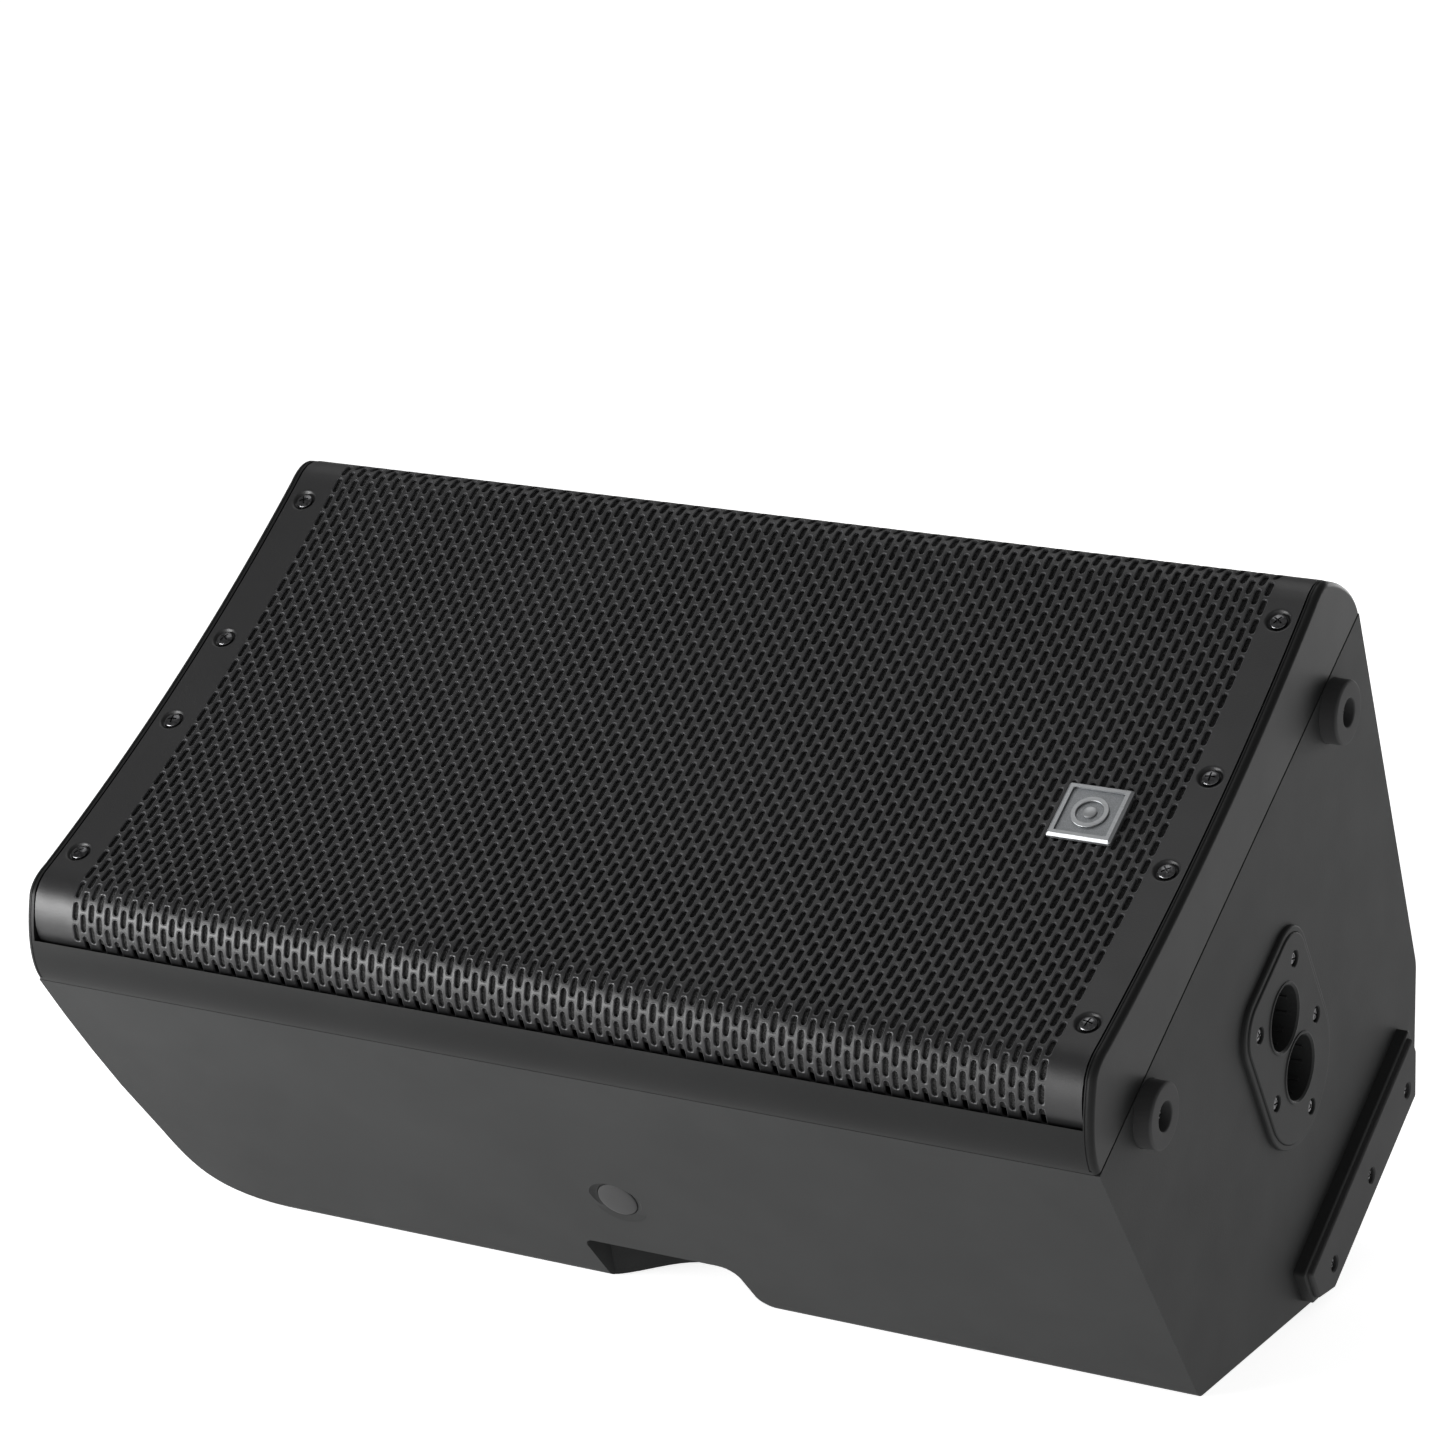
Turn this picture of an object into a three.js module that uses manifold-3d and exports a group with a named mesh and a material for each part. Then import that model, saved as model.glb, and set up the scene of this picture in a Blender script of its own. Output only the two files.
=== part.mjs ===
// A 12-inch active loudspeaker in a moulded plastic cabinet, lying on its side as a stage monitor wedge.
//
// Every piece is modelled in the cabinet's own frame, in millimetres: x runs along the length and is 0 at
// the end with the pole sockets, y runs across the front, and z comes straight out of the front, with 0 at
// the joint between the front frame and the rear shell. The cabinet is then turned about x onto its floor
// face, and the origin is moved to the middle of its footprint, +Z up.

import * as THREE from 'three';
import { mergeVertices } from 'three/addons/utils/BufferGeometryUtils.js';
import Module from 'manifold-3d';

const wasm = await Module();
wasm.setup();

// ---------------------------------------------------------------- driving dimensions (mm)

const LENGTH = 656.5; // front frame, end to end
const HALF_WIDTH = 196.65; // half the width at the joint
const WEDGE_ANGLE = 34; // degrees between the front and the floor
const WALL = 4; // rear shell
const TOUCH = 0.3; // gap between pieces that touch
const GROOVE = 0.7; // half the width of the shadow line between front frame and rear shell

const DEPTH = 302; // joint to rear face
const NEAR_EDGE = { y: -181, z: -213.4 }; // where the near side meets the floor face
const FAR_EDGE = { y: 154.25, z: -249.9 }; // where the far side meets the rear chamfer
const REAR_FAR = 122.4; // where the rear chamfer meets the rear face
const END_SWEEP = 0.0006; // how fast the top end leans in behind the joint
const END_ROUND = 45; // rounding of the top end's rear edges
// how the top end curves into the floor face, as [x, height above the floor]: a line, then a curve's handles
const FLOOR_CURVE = [[-743, 500], [-642.2, 51.5], [-635.5, 12], [-625, 0], [-545, 0]];

const BAFFLE = 6; // front of the baffle behind the grille
const STRIP_INSIDE = 189.3; // centre line to the inside of the side strips
const TONGUE = { in: 2, round: 3 }; // the frame's tongue inside the shell's edge
const DISH_MIDDLE = 42.3; // grille height on its centre line
const DISH_RISE = 0.00034; // and how fast it rises towards the long edges
const DISH_EDGE = 152; // half the dished width
const SHOULDER = { y: 173, z: 47.2 }; // where the front starts to roll over
const LIP = 27; // top of the side strips
const END_RIDGE = 5.2; // width of the frame at both ends of the grille
const LEDGE = 20; // width of the seats under the grille's end bands
const GRILLE_SHEET = 1.5;

const WOOFER_X = -190;
const WOOFER_FLANGE = 155;
const HORN_X = -520;
const PORT = { x: -383, y: 132, bore: 27, wall: 3, depth: 115 };
const GRILLE_SCREW = { ends: [-16.6, -639.4], across: [139.8, 32.5, -32.5, -139.8], hole: 3 };

const SOCKET_BORE = 18.3;
const SOCKETS = [-112.2, -154.6]; // heights of the two pole sockets on the end face
const SOCKET_DEPTH = 80;
const PLATE = { half: 41.5, top: -76, roundZ: -156.5, proud: 4 };
const PLINTH_STEP = 3;
const PLATE_SCREWS = [[27, -94], [-27, -94], [31.5, -147], [-31.5, -147], [0, -188.8]];

const FOOT = { height: 10, radius: 18, y: 140.2, z: -19.4, hole: 8 };
const STRIP = { low: -59, high: 112, top: -264, plinth: 7, screws: [-34.3, 28.4, 90.5], screwZ: -286 };

const PLUG = { x: -325.6, n: 124.8, radius: 12, sheet: 3, stem: 4.5, boss: 6 };
const GRIP = { low: -367, high: -262.5, flare: 12, reach: 45 }; // handle pocket in the near side's lower edge
const POCKET_WALL = 3.5; // round the grip pockets and the panel's recess
// pocket in the top end, and its carrying bar
const TOP_GRIP = { half: 60, low: -160, high: -90, floor: -597 };
const BAR = { x: [-644, -626], z: [-138, -112], round: 7 };

const PANEL = { low: -332, high: -38, near: -36, far: 110, recess: 15, sheet: 3 };
const PANEL_Z = -DEPTH + PANEL.recess; // outer face of the amplifier panel

// ---------------------------------------------------------------- finishes

const finish = (color, roughness, metalness = 0) => ({ color, roughness, metalness });
const FINISH = {
  shell: finish(0x4a4b4b, 0.62),
  steel: finish(0x262727, 0.45, 0.3),
  foam: finish(0x101010, 0.95),
  rubber: finish(0x2b2c2c, 0.8),
  silver: finish(0xb9bcbd, 0.3, 1),
  blackSteel: finish(0x1b1b1c, 0.4, 0.6),
  cone: finish(0x17181a, 0.85),
  magnet: finish(0x3c3d40, 0.5, 0.7),
  panel: finish(0x1f2021, 0.5, 0.4),
  aluminium: finish(0x8f9295, 0.4, 1),
  board: finish(0x1f5a36, 0.6),
  plastic: finish(0x161617, 0.5),
  wadding: finish(0xc9c6bd, 1),
};

// ---------------------------------------------------------------- solids

/** Turns a closed three.js geometry into a solid, with its faces pointing out. */
function toSolid(geometry) {
  const bare = geometry.clone();
  bare.deleteAttribute('normal');
  bare.deleteAttribute('uv');
  const merged = mergeVertices(bare, 1e-4);
  const points = merged.attributes.position;
  const corners = [0, 1, 2].map(() => new THREE.Vector3());
  const faces = [];
  let volume = 0;
  for (let i = 0; i < merged.index.count; i += 3) {
    const face = [0, 1, 2].map((k) => merged.index.getX(i + k));
    if (face[0] === face[1] || face[1] === face[2] || face[2] === face[0]) continue;
    faces.push(face);
    face.forEach((v, k) => corners[k].fromBufferAttribute(points, v));
    volume += corners[0].dot(corners[1].cross(corners[2]));
  }
  const outward = volume < 0 ? faces.map(([a, b, c]) => [a, c, b]) : faces;
  return new wasm.Manifold(new wasm.Mesh({
    numProp: 3,
    vertProperties: new Float32Array(points.array),
    triVerts: new Uint32Array(outward.flat()),
  }));
}

/** Turns a solid back into a geometry for a mesh. */
function toGeometry(solid) {
  const mesh = solid.getMesh();
  const geometry = new THREE.BufferGeometry();
  geometry.setAttribute('position', new THREE.BufferAttribute(new Float32Array(mesh.vertProperties), 3));
  geometry.setIndex(new THREE.BufferAttribute(new Uint32Array(mesh.triVerts), 1));
  geometry.computeVertexNormals();
  return geometry;
}

const AXES = {
  x: [[0, 1, 0], [0, 0, 1], [1, 0, 0]],
  y: [[1, 0, 0], [0, 0, 1], [0, -1, 0]],
  z: [[1, 0, 0], [0, 1, 0], [0, 0, 1]],
};

/** An outline [u, v] pushed along an axis: (y, z) along x, (x, z) along y, or (x, y) along z. */
function prism(outline, axis, from, to) {
  const shape = new THREE.Shape(outline.map(([u, v]) => new THREE.Vector2(u, v)));
  const geometry = new THREE.ExtrudeGeometry(shape, { depth: to - from, bevelEnabled: false });
  const [right, up, out] = AXES[axis].map((v) => new THREE.Vector3(...v));
  const start = axis === 'y' ? -to : from; // along y the outline is pushed towards -y
  geometry.translate(0, 0, start);
  geometry.applyMatrix4(new THREE.Matrix4().makeBasis(right, up, out));
  return toSolid(geometry);
}

const box = (x, y, z) => prism([[x[0], y[0]], [x[1], y[0]], [x[1], y[1]], [x[0], y[1]]], 'z', z[0], z[1]);

/** A profile of [radius, height] points turned about +z, or about +x. */
function turned(profile, segments = 24, axis = 'z') {
  const points = [...profile, profile[0]].map(([r, h]) => new THREE.Vector2(r, h));
  const geometry = new THREE.LatheGeometry(points, segments);
  if (axis === 'z') geometry.rotateX(Math.PI / 2);
  else geometry.rotateZ(-Math.PI / 2);
  return toSolid(geometry);
}

const disc = (radius, from, to, segments = 16, axis = 'z') =>
  turned([[0, from], [radius, from], [radius, to], [0, to]], segments, axis);

const ring = (inner, outer, from, to, segments = 24, axis = 'z') =>
  turned([[inner, from], [outer, from], [outer, to], [inner, to]], segments, axis);

/** An outline whose corners [u, v, radius] are rounded by arcs. */
function rounded(corners, steps = 4) {
  const outline = [];
  corners.forEach(([u, v, radius = 0], i) => {
    const corner = new THREE.Vector2(u, v);
    if (radius <= 0) {
      outline.push([u, v]);
      return;
    }
    const before = new THREE.Vector2(...corners.at(i - 1).slice(0, 2)).sub(corner).normalize();
    const after = new THREE.Vector2(...corners[(i + 1) % corners.length].slice(0, 2)).sub(corner).normalize();
    const half = Math.acos(THREE.MathUtils.clamp(before.dot(after), -1, 1)) / 2;
    const centre = before.clone().add(after).normalize().multiplyScalar(radius / Math.sin(half)).add(corner);
    const first = before.multiplyScalar(radius / Math.tan(half)).add(corner).sub(centre);
    const last = after.multiplyScalar(radius / Math.tan(half)).add(corner).sub(centre);
    const sweep = Math.atan2(first.cross(last), first.dot(last));
    for (let k = 0; k <= steps; k += 1) {
      const point = first.clone().rotateAround(new THREE.Vector2(), (sweep * k) / steps).add(centre);
      outline.push([point.x, point.y]);
    }
  });
  return outline;
}

/** A closed outline moved in by a distance, given its points in order with the inside on the left. */
function inset(outline, distance) {
  return outline.map((point, i) => {
    const before = new THREE.Vector2(...outline.at(i - 1));
    const here = new THREE.Vector2(...point);
    const after = new THREE.Vector2(...outline[(i + 1) % outline.length]);
    const inA = here.clone().sub(before).normalize().rotateAround(new THREE.Vector2(), Math.PI / 2);
    const inB = after.sub(here).normalize().rotateAround(new THREE.Vector2(), Math.PI / 2);
    const along = inA.clone().add(inB).normalize();
    return here.add(along.multiplyScalar(distance / along.dot(inA))).toArray();
  });
}

/** An open line of points moved to its right by a distance. */
function offsetLine(line, distance) {
  return line.map((point, i) => {
    const ahead = new THREE.Vector2(...line[Math.min(i + 1, line.length - 1)]);
    const behind = new THREE.Vector2(...line[Math.max(i - 1, 0)]);
    const right = ahead.sub(behind).normalize().rotateAround(new THREE.Vector2(), -Math.PI / 2);
    return new THREE.Vector2(...point).add(right.multiplyScalar(distance)).toArray();
  });
}

const rectangle = (x, y, radius) =>
  rounded([[x[0], y[0], radius], [x[1], y[0], radius], [x[1], y[1], radius], [x[0], y[1], radius]]);

// ---------------------------------------------------------------- the scene graph

const cabinet = new THREE.Group();
cabinet.name = 'cabinet';
cabinet.rotation.x = THREE.MathUtils.degToRad(WEDGE_ANGLE);

/** Adds a named piece to the cabinet and returns its mesh, so it can be placed. */
function piece(name, solid, look, position = [0, 0, 0], rotation = [0, 0, 0]) {
  const mesh = new THREE.Mesh(toGeometry(solid), new THREE.MeshStandardMaterial(look));
  mesh.name = name;
  mesh.position.set(...position);
  mesh.rotation.set(...rotation);
  cabinet.add(mesh);
  return mesh;
}

// ---------------------------------------------------------------- cabinet outlines

const slope = THREE.MathUtils.degToRad(WEDGE_ANGLE);
const FLOOR = NEAR_EDGE.y * Math.sin(slope) + NEAR_EDGE.z * Math.cos(slope); // height once turned
const REAR_NEAR = NEAR_EDGE.y + (DEPTH + NEAR_EDGE.z) / Math.tan(slope); // floor face meets rear face

const REAR_SECTION = rounded([
  [-HALF_WIDTH, 8],
  [NEAR_EDGE.y, NEAR_EDGE.z, 9],
  [REAR_NEAR, -DEPTH, 9],
  [REAR_FAR, -DEPTH, 14],
  [FAR_EDGE.y, FAR_EDGE.z, 22],
  [HALF_WIDTH, 8],
]);

const endX = (n) => -LENGTH + END_SWEEP * n * n;

/** The whole space inside the cabinet's outside surface behind the joint, moved in by a wall. */
function cabinetVolume(wall) {
  const section = prism(inset(REAR_SECTION, wall), 'x', -LENGTH - 10, -wall);
  const rear = -DEPTH + wall;
  const lean = [240, 180, 120, 60, 0].map((n) => [endX(n) + wall, -n]);
  const side = rounded([
    [10, 20], [endX(0) + wall, 20], ...lean.reverse(),
    [endX(DEPTH) + wall, rear, END_ROUND - wall], [10, rear],
  ], 6);
  const [start, ...handles] = FLOOR_CURVE
    .map(([x, height]) => new THREE.Vector2(x + wall, FLOOR + wall + height));
  const curve = new THREE.CubicBezierCurve(...handles).getPoints(10);
  const under = [[10, start.y], start.toArray(), ...curve.map((p) => p.toArray()), [10, FLOOR + wall]];
  return section
    .intersect(prism(side, 'y', -300, 300))
    .intersect(prism(under, 'y', -600, 600).rotate([-WEDGE_ANGLE, 0, 0]));
}

const dish = (y) => DISH_MIDDLE + DISH_RISE * y * y;

/** Points across the front from -y to +y: the dish, a shoulder, then the roll down to the given foot. */
function frontLine(rollPoints) {
  const half = [];
  for (let y = 0; y < DISH_EDGE; y += 30.4) half.push([y, dish(y)]);
  const shoulder = new THREE.QuadraticBezierCurve(
    new THREE.Vector2(DISH_EDGE, dish(DISH_EDGE)),
    new THREE.Vector2(166, 53),
    new THREE.Vector2(SHOULDER.y, SHOULDER.z),
  );
  half.push(...shoulder.getPoints(3).map((p) => p.toArray()), ...rollPoints.slice(1));
  const mirrored = half.slice(1).reverse().map(([y, z]) => [-y, z]);
  return [...mirrored, ...half];
}

const frameRoll = new THREE.CubicBezierCurve(
  new THREE.Vector2(SHOULDER.y, SHOULDER.z),
  new THREE.Vector2(187, 33),
  new THREE.Vector2(197.5, 17),
  new THREE.Vector2(HALF_WIDTH, GROOVE),
);
const FRAME_LINE = frontLine(frameRoll.getPoints(6).map((p) => p.toArray()));

const grilleRoll = new THREE.QuadraticBezierCurve(
  new THREE.Vector2(SHOULDER.y, SHOULDER.z),
  new THREE.Vector2(184, 38),
  new THREE.Vector2(186, 26),
);
const GRILLE_LINE = frontLine([...grilleRoll.getPoints(5).map((p) => p.toArray()), [186.5, 17]]);

// ---------------------------------------------------------------- front frame

const hornCut = rectangle([HORN_X - 88, HORN_X + 88], [-138, 138], 30);
const pocket = [-LENGTH + END_RIDGE, -END_RIDGE];

function frontFrame() {
  let solid = prism(FRAME_LINE, 'x', -LENGTH, 0);
  const tongue = inset(rectangle([-LENGTH, 0], [-HALF_WIDTH, HALF_WIDTH], TONGUE.round), TONGUE.in);
  solid = solid.add(prism(tongue, 'z', -GROOVE + TOUCH, 2));
  solid = solid.subtract(box(pocket, [-STRIP_INSIDE, STRIP_INSIDE], [BAFFLE, 80]));
  solid = solid.subtract(box(pocket, [-220, 220], [LIP, 80]));
  const seat = offsetLine(GRILLE_LINE, GRILLE_SHEET + TOUCH);
  const seatOutline = [...seat, [184, BAFFLE - 1], [-184, BAFFLE - 1]];
  const seatSolid = prism(seatOutline, 'x', pocket[0] - 1, pocket[1] + 1);
  solid = solid.add(seatSolid.intersect(box([pocket[0] - 1, pocket[0] + LEDGE], [-200, 200], [0, 80])));
  solid = solid.add(seatSolid.intersect(box([pocket[1] - LEDGE, pocket[1] + 1], [-200, 200], [0, 80])));
  solid = solid.subtract(disc(142, -5, 12, 48).translate([WOOFER_X, 0, 0]));
  solid = solid.subtract(prism(hornCut, 'z', -5, 12));
  for (const side of [-1, 1]) {
    solid = solid.subtract(disc(PORT.bore + PORT.wall + 1, -5, 12, 24).translate([PORT.x, side * PORT.y, 0]));
  }
  for (const x of GRILLE_SCREW.ends) {
    for (const y of GRILLE_SCREW.across) {
      solid = solid.subtract(disc(GRILLE_SCREW.hole, 25, 80, 8).translate([x, y, 0]));
    }
  }
  return solid;
}
piece('front_frame', frontFrame(), FINISH.shell);

// ---------------------------------------------------------------- rear shell

/** The grip pocket's section, the outline of its mouth with one flared end, and its plan [x, inwards]. */
const GRIP_SECTION = rounded([
  [-215, -240], [-152, -252], [-141, -237, 6], [-130, -200, 8],
  [-142, -178, 10], [-168, -174, 6], [-215, -178],
], 3);
const GRIP_PLAN = [[-2, -40], [0, 0], [10, 4.6], [18.5, 17.7], [27, 34], [35, 42], [50, GRIP.reach],
  [GRIP.high - GRIP.low + GRIP.flare + 2, GRIP.reach], [GRIP.high - GRIP.low + GRIP.flare + 2, -40]];
const GRIP_MOUTH = rounded([
  [GRIP.high + GRIP.flare, -300], [GRIP.high + GRIP.flare - 2, -213, 4], [GRIP.high, -206, 10],
  [GRIP.high - 6, -176, 12], [GRIP.low, -176, 9], [GRIP.low, -300],
], 4);

/** The pocket: its section, mouth and plan together. The plan lies in the floor face. */
function gripSpace() {
  const edge = NEAR_EDGE.y * Math.cos(slope) - NEAR_EDGE.z * Math.sin(slope);
  const plan = prism(GRIP_PLAN.map(([x, inwards]) => [GRIP.low + x, edge + inwards]).reverse(), 'z',
    FLOOR - 20, FLOOR + 80).rotate([-WEDGE_ANGLE, 0, 0]);
  return prism(GRIP_SECTION, 'x', GRIP.low - 1, GRIP.high + GRIP.flare + 1)
    .intersect(prism(GRIP_MOUTH, 'y', -260, -100)).intersect(plan);
}

/** The top pocket's block, grown by a distance. */
const topGripBlock = (grow) => box([-700, TOP_GRIP.floor + grow],
  [-TOP_GRIP.half - grow, TOP_GRIP.half + grow], [TOP_GRIP.low - grow, TOP_GRIP.high + grow]);

const plateOutline = (grow) => rounded([
  [-PLATE.half - grow, PLATE.top + grow, 20 + grow],
  [-PLATE.half - grow, PLATE.roundZ - PLATE.half - grow, PLATE.half + grow - 0.1],
  [PLATE.half + grow, PLATE.roundZ - PLATE.half - grow, PLATE.half + grow - 0.1],
  [PLATE.half + grow, PLATE.top + grow, 20 + grow],
], 6);

const stripOutline = (grow) => rounded([
  [STRIP.low - grow, STRIP.top + grow, 2],
  [STRIP.low - grow, -286 - grow * 0.4, 2],
  [-41, -300, 2],
  [98, -300, 2],
  [STRIP.high + grow, -276 - grow * 0.4, 2],
  [STRIP.high + grow, STRIP.top + grow, 2],
], 2);

const nearY = (n) => -HALF_WIDTH + ((HALF_WIDTH + NEAR_EDGE.y) * n) / -NEAR_EDGE.z;
const farY = (n) => HALF_WIDTH - ((HALF_WIDTH - FAR_EDGE.y) * n) / -FAR_EDGE.z;
const nearLean = Math.atan2(HALF_WIDTH + NEAR_EDGE.y, -NEAR_EDGE.z);
const farLean = Math.atan2(HALF_WIDTH - FAR_EDGE.y, -FAR_EDGE.z);

/** The seat of a side rigging plug: a short pin square to the near (-1) or far (+1) side. */
function plugSolid(side, radius, from, to) {
  const turn = side < 0 ? 90 - THREE.MathUtils.radToDeg(nearLean) : -90 + THREE.MathUtils.radToDeg(farLean);
  const y = side < 0 ? nearY(PLUG.n) : farY(PLUG.n);
  return disc(radius, from, to, 20).rotate([turn, 0, 0]).translate([PLUG.x, y, -PLUG.n]);
}

const panelOutline = (grow) =>
  rectangle([PANEL.low - grow, PANEL.high + grow], [PANEL.near - grow, PANEL.far + grow], 5 + grow);

function rearShell() {
  const outer = cabinetVolume(0);
  let solid = outer.subtract(cabinetVolume(WALL));
  const gripWall = prism(inset(GRIP_SECTION, -POCKET_WALL), 'x', GRIP.low - POCKET_WALL,
    GRIP.high + GRIP.flare + POCKET_WALL);
  const recessWall = prism(panelOutline(POCKET_WALL), 'z', -DEPTH - 1, PANEL_Z + PANEL.sheet + WALL);
  for (const wall of [gripWall, topGripBlock(POCKET_WALL), recessWall]) {
    solid = solid.add(wall.intersect(outer));
  }
  solid = solid.add(prism(plateOutline(POCKET_WALL), 'x', -WALL, PLINTH_STEP));
  solid = solid.add(prism(stripOutline(3), 'x', -WALL, STRIP.plinth));
  for (const side of [-1, 1]) {
    solid = solid.add(plugSolid(side, PLUG.radius + PLUG.boss, -14, -1.5));
    solid = solid.subtract(plugSolid(side, PLUG.radius + 0.5, -PLUG.sheet - TOUCH, 8));
    solid = solid.subtract(plugSolid(side, PLUG.stem + 0.5, -12, 0));
  }
  solid = solid.subtract(gripSpace()).subtract(topGripBlock(0));
  solid = solid.subtract(prism(panelOutline(0), 'z', -DEPTH - 5, PANEL_Z + PANEL.sheet + TOUCH));
  solid = solid.subtract(prism(panelOutline(-9), 'z', -DEPTH - 5, -200));
  solid = solid.subtract(prism(plateOutline(TOUCH), 'x', 0, 20));
  solid = solid.subtract(prism(socketBody(0.5), 'x', -SOCKET_DEPTH - 10, 20));
  solid = solid.subtract(prism(stripOutline(0), 'x', STRIP.plinth - 3, 20));
  for (const y of [-FOOT.y, FOOT.y]) {
    solid = solid.subtract(disc(FOOT.radius + TOUCH, -1.2, 10, 24, 'x').translate([0, y, FOOT.z]));
  }
  solid = solid.subtract(box([-LENGTH - 50, 50], [-300, 300], [-GROOVE, 60]));
  return solid;
}

/** The outline around both pole sockets. */
function socketBody(grow) {
  const half = 22 + grow;
  const top = SOCKETS[0] + half;
  const bottom = SOCKETS[1] - half;
  return rounded([[-half, top, half - 0.1], [-half, bottom, half - 0.1], [half, bottom, half - 0.1],
    [half, top, half - 0.1]], 5);
}
piece('rear_shell', rearShell(), FINISH.shell);

// ---------------------------------------------------------------- grille, foam and badge

const grilleSpan = [pocket[0] + 1, pocket[1] - 1];

function curvedSheet(top, thickness, span, line = GRILLE_LINE) {
  const outside = offsetLine(line, top);
  const inside = offsetLine(line, top + thickness);
  return prism([...outside, ...inside.reverse()], 'x', span[0], span[1]);
}

function grille() {
  let solid = curvedSheet(0, GRILLE_SHEET, grilleSpan);
  for (const x of GRILLE_SCREW.ends) {
    for (const y of GRILLE_SCREW.across) {
      solid = solid.subtract(disc(GRILLE_SCREW.hole, 25, 80, 8).translate([x, y, 0]));
    }
  }
  return solid;
}
piece('grille', grille(), FINISH.steel);

const foamLine = GRILLE_LINE.slice(2, -2);
const foamSpan = [pocket[0] + LEDGE + 1, pocket[1] - LEDGE - 1];
piece('grille_foam', curvedSheet(GRILLE_SHEET + TOUCH, 3, foamSpan, foamLine), FINISH.foam);

const BADGE = { x: -70.5, y: -4, half: 18.6, rim: 3.6, high: 3, low: 1.4 };
function badge() {
  const edge = [-BADGE.half, BADGE.half];
  const inner = [-BADGE.half + BADGE.rim, BADGE.half - BADGE.rim];
  let solid = prism(rectangle(edge, edge, 1.5), 'z', 0, BADGE.high);
  solid = solid.subtract(prism(rectangle(inner, inner, 0.8), 'z', BADGE.low, BADGE.high + 1));
  solid = solid.add(ring(8, 10.5, BADGE.low - 0.5, BADGE.high - 0.4, 24));
  return solid.add(disc(3.5, 0.5, BADGE.high - 0.4, 16));
}
piece('badge', badge(), FINISH.silver, [BADGE.x, BADGE.y, dish(BADGE.half - BADGE.y) + TOUCH]);

/** A pan-head screw, its head on z = 0 and its shank below. */
const screw = (head, height, shank, length) =>
  turned([[0, -length], [shank, -length], [shank, 0], [head, 0], [head * 0.75, height], [0, height]], 10);

/** The head alone, for a screw whose shank is out of sight in its boss. */
const screwHead = (head, height) => turned([[0, 0], [head, 0], [head * 0.75, height], [0, height]], 10);

let screwNumber = 0;
for (const x of GRILLE_SCREW.ends) {
  for (const y of GRILLE_SCREW.across) {
    screwNumber += 1;
    const tilt = Math.atan(2 * DISH_RISE * y);
    piece(`grille_screw_${screwNumber}`, screw(5, 3, 2, 8), FINISH.blackSteel,
      [x, y, dish(y) + TOUCH + 0.2], [tilt, 0, 0]);
  }
}

// ---------------------------------------------------------------- base: pole mount and feet

function poleMount() {
  let solid = prism(plateOutline(0), 'x', TOUCH, PLATE.proud);
  solid = solid.add(prism(socketBody(0), 'x', -SOCKET_DEPTH - 3, 1));
  for (const z of SOCKETS) {
    solid = solid.subtract(disc(SOCKET_BORE, -SOCKET_DEPTH, 10, 24, 'x').translate([0, 0, z]));
  }
  for (const [y, z] of PLATE_SCREWS) {
    solid = solid.subtract(disc(3.4, 1.8, 10, 10, 'x').translate([0, y, z]));
  }
  return solid;
}
piece('pole_mount', poleMount(), FINISH.shell);

function roundFoot() {
  return turned([
    [0, -0.9], [FOOT.radius, -0.9], [FOOT.radius, FOOT.height - 1.5], [FOOT.radius - 1.5, FOOT.height],
    [FOOT.hole, FOOT.height], [FOOT.hole, 4], [0, 4],
  ], 24, 'x');
}
const footScrew = screwHead(4.2, 2.4);
for (const [name, y] of [['near', -FOOT.y], ['far', FOOT.y]]) {
  piece(`foot_${name}`, roundFoot(), FINISH.rubber, [0, y, FOOT.z]);
  piece(`foot_screw_${name}`, footScrew, FINISH.blackSteel, [4.4, y, FOOT.z], [0, Math.PI / 2, 0]);
}

function footStrip() {
  let solid = prism(inset(stripOutline(0), TOUCH), 'x', STRIP.plinth - 2.7, FOOT.height);
  for (const y of STRIP.screws) {
    solid = solid.subtract(disc(4.2, 6.5, 20, 16, 'x').translate([0, y, STRIP.screwZ]));
  }
  return solid;
}
piece('foot_strip', footStrip(), FINISH.rubber);
STRIP.screws.forEach((y, i) => {
  piece(`strip_screw_${i + 1}`, screwHead(3.6, 2), FINISH.blackSteel,
    [6.9, y, STRIP.screwZ], [0, Math.PI / 2, 0]);
});

// ---------------------------------------------------------------- sides: plugs and the top grip

for (const [name, side] of [['near', -1], ['far', 1]]) {
  const cap = plugSolid(side, PLUG.radius, -PLUG.sheet, -0.4);
  piece(`rigging_plug_${name}`, cap.add(plugSolid(side, PLUG.stem, -10, -1)), FINISH.rubber);
}

const gripBar = rectangle(BAR.x, BAR.z, BAR.round);
piece('top_grip_bar', prism(gripBar, 'y', -TOP_GRIP.half + TOUCH, TOP_GRIP.half - TOUCH), FINISH.rubber);

// ---------------------------------------------------------------- woofer

const woofer = [WOOFER_X, 0, 0];

function wooferBasket() {
  let solid = turned([
    [141, BAFFLE + TOUCH], [WOOFER_FLANGE, BAFFLE + TOUCH], [WOOFER_FLANGE, 10], [137, 10],
    [90, -60], [76, -66], [76, -75], [42, -75], [42, -79], [79, -79], [80, -68], [94, -62], [140, 4],
  ], 36);
  for (let i = 0; i < 6; i += 1) {
    const window = prism([[84, -26], [133, -44], [133, 44], [84, 26]], 'z', -57, 0);
    solid = solid.subtract(window.rotate([0, 0, 60 * i]));
  }
  return solid;
}
piece('woofer_basket', wooferBasket(), FINISH.blackSteel, woofer);

piece('woofer_magnet', turned([
  [39.5, -79.3], [72, -79.3], [75, -84], [75, -112], [70, -118], [0, -118], [0, -80], [36, -80], [36, -110],
  [39.5, -110],
], 28), FINISH.magnet, woofer);

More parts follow.
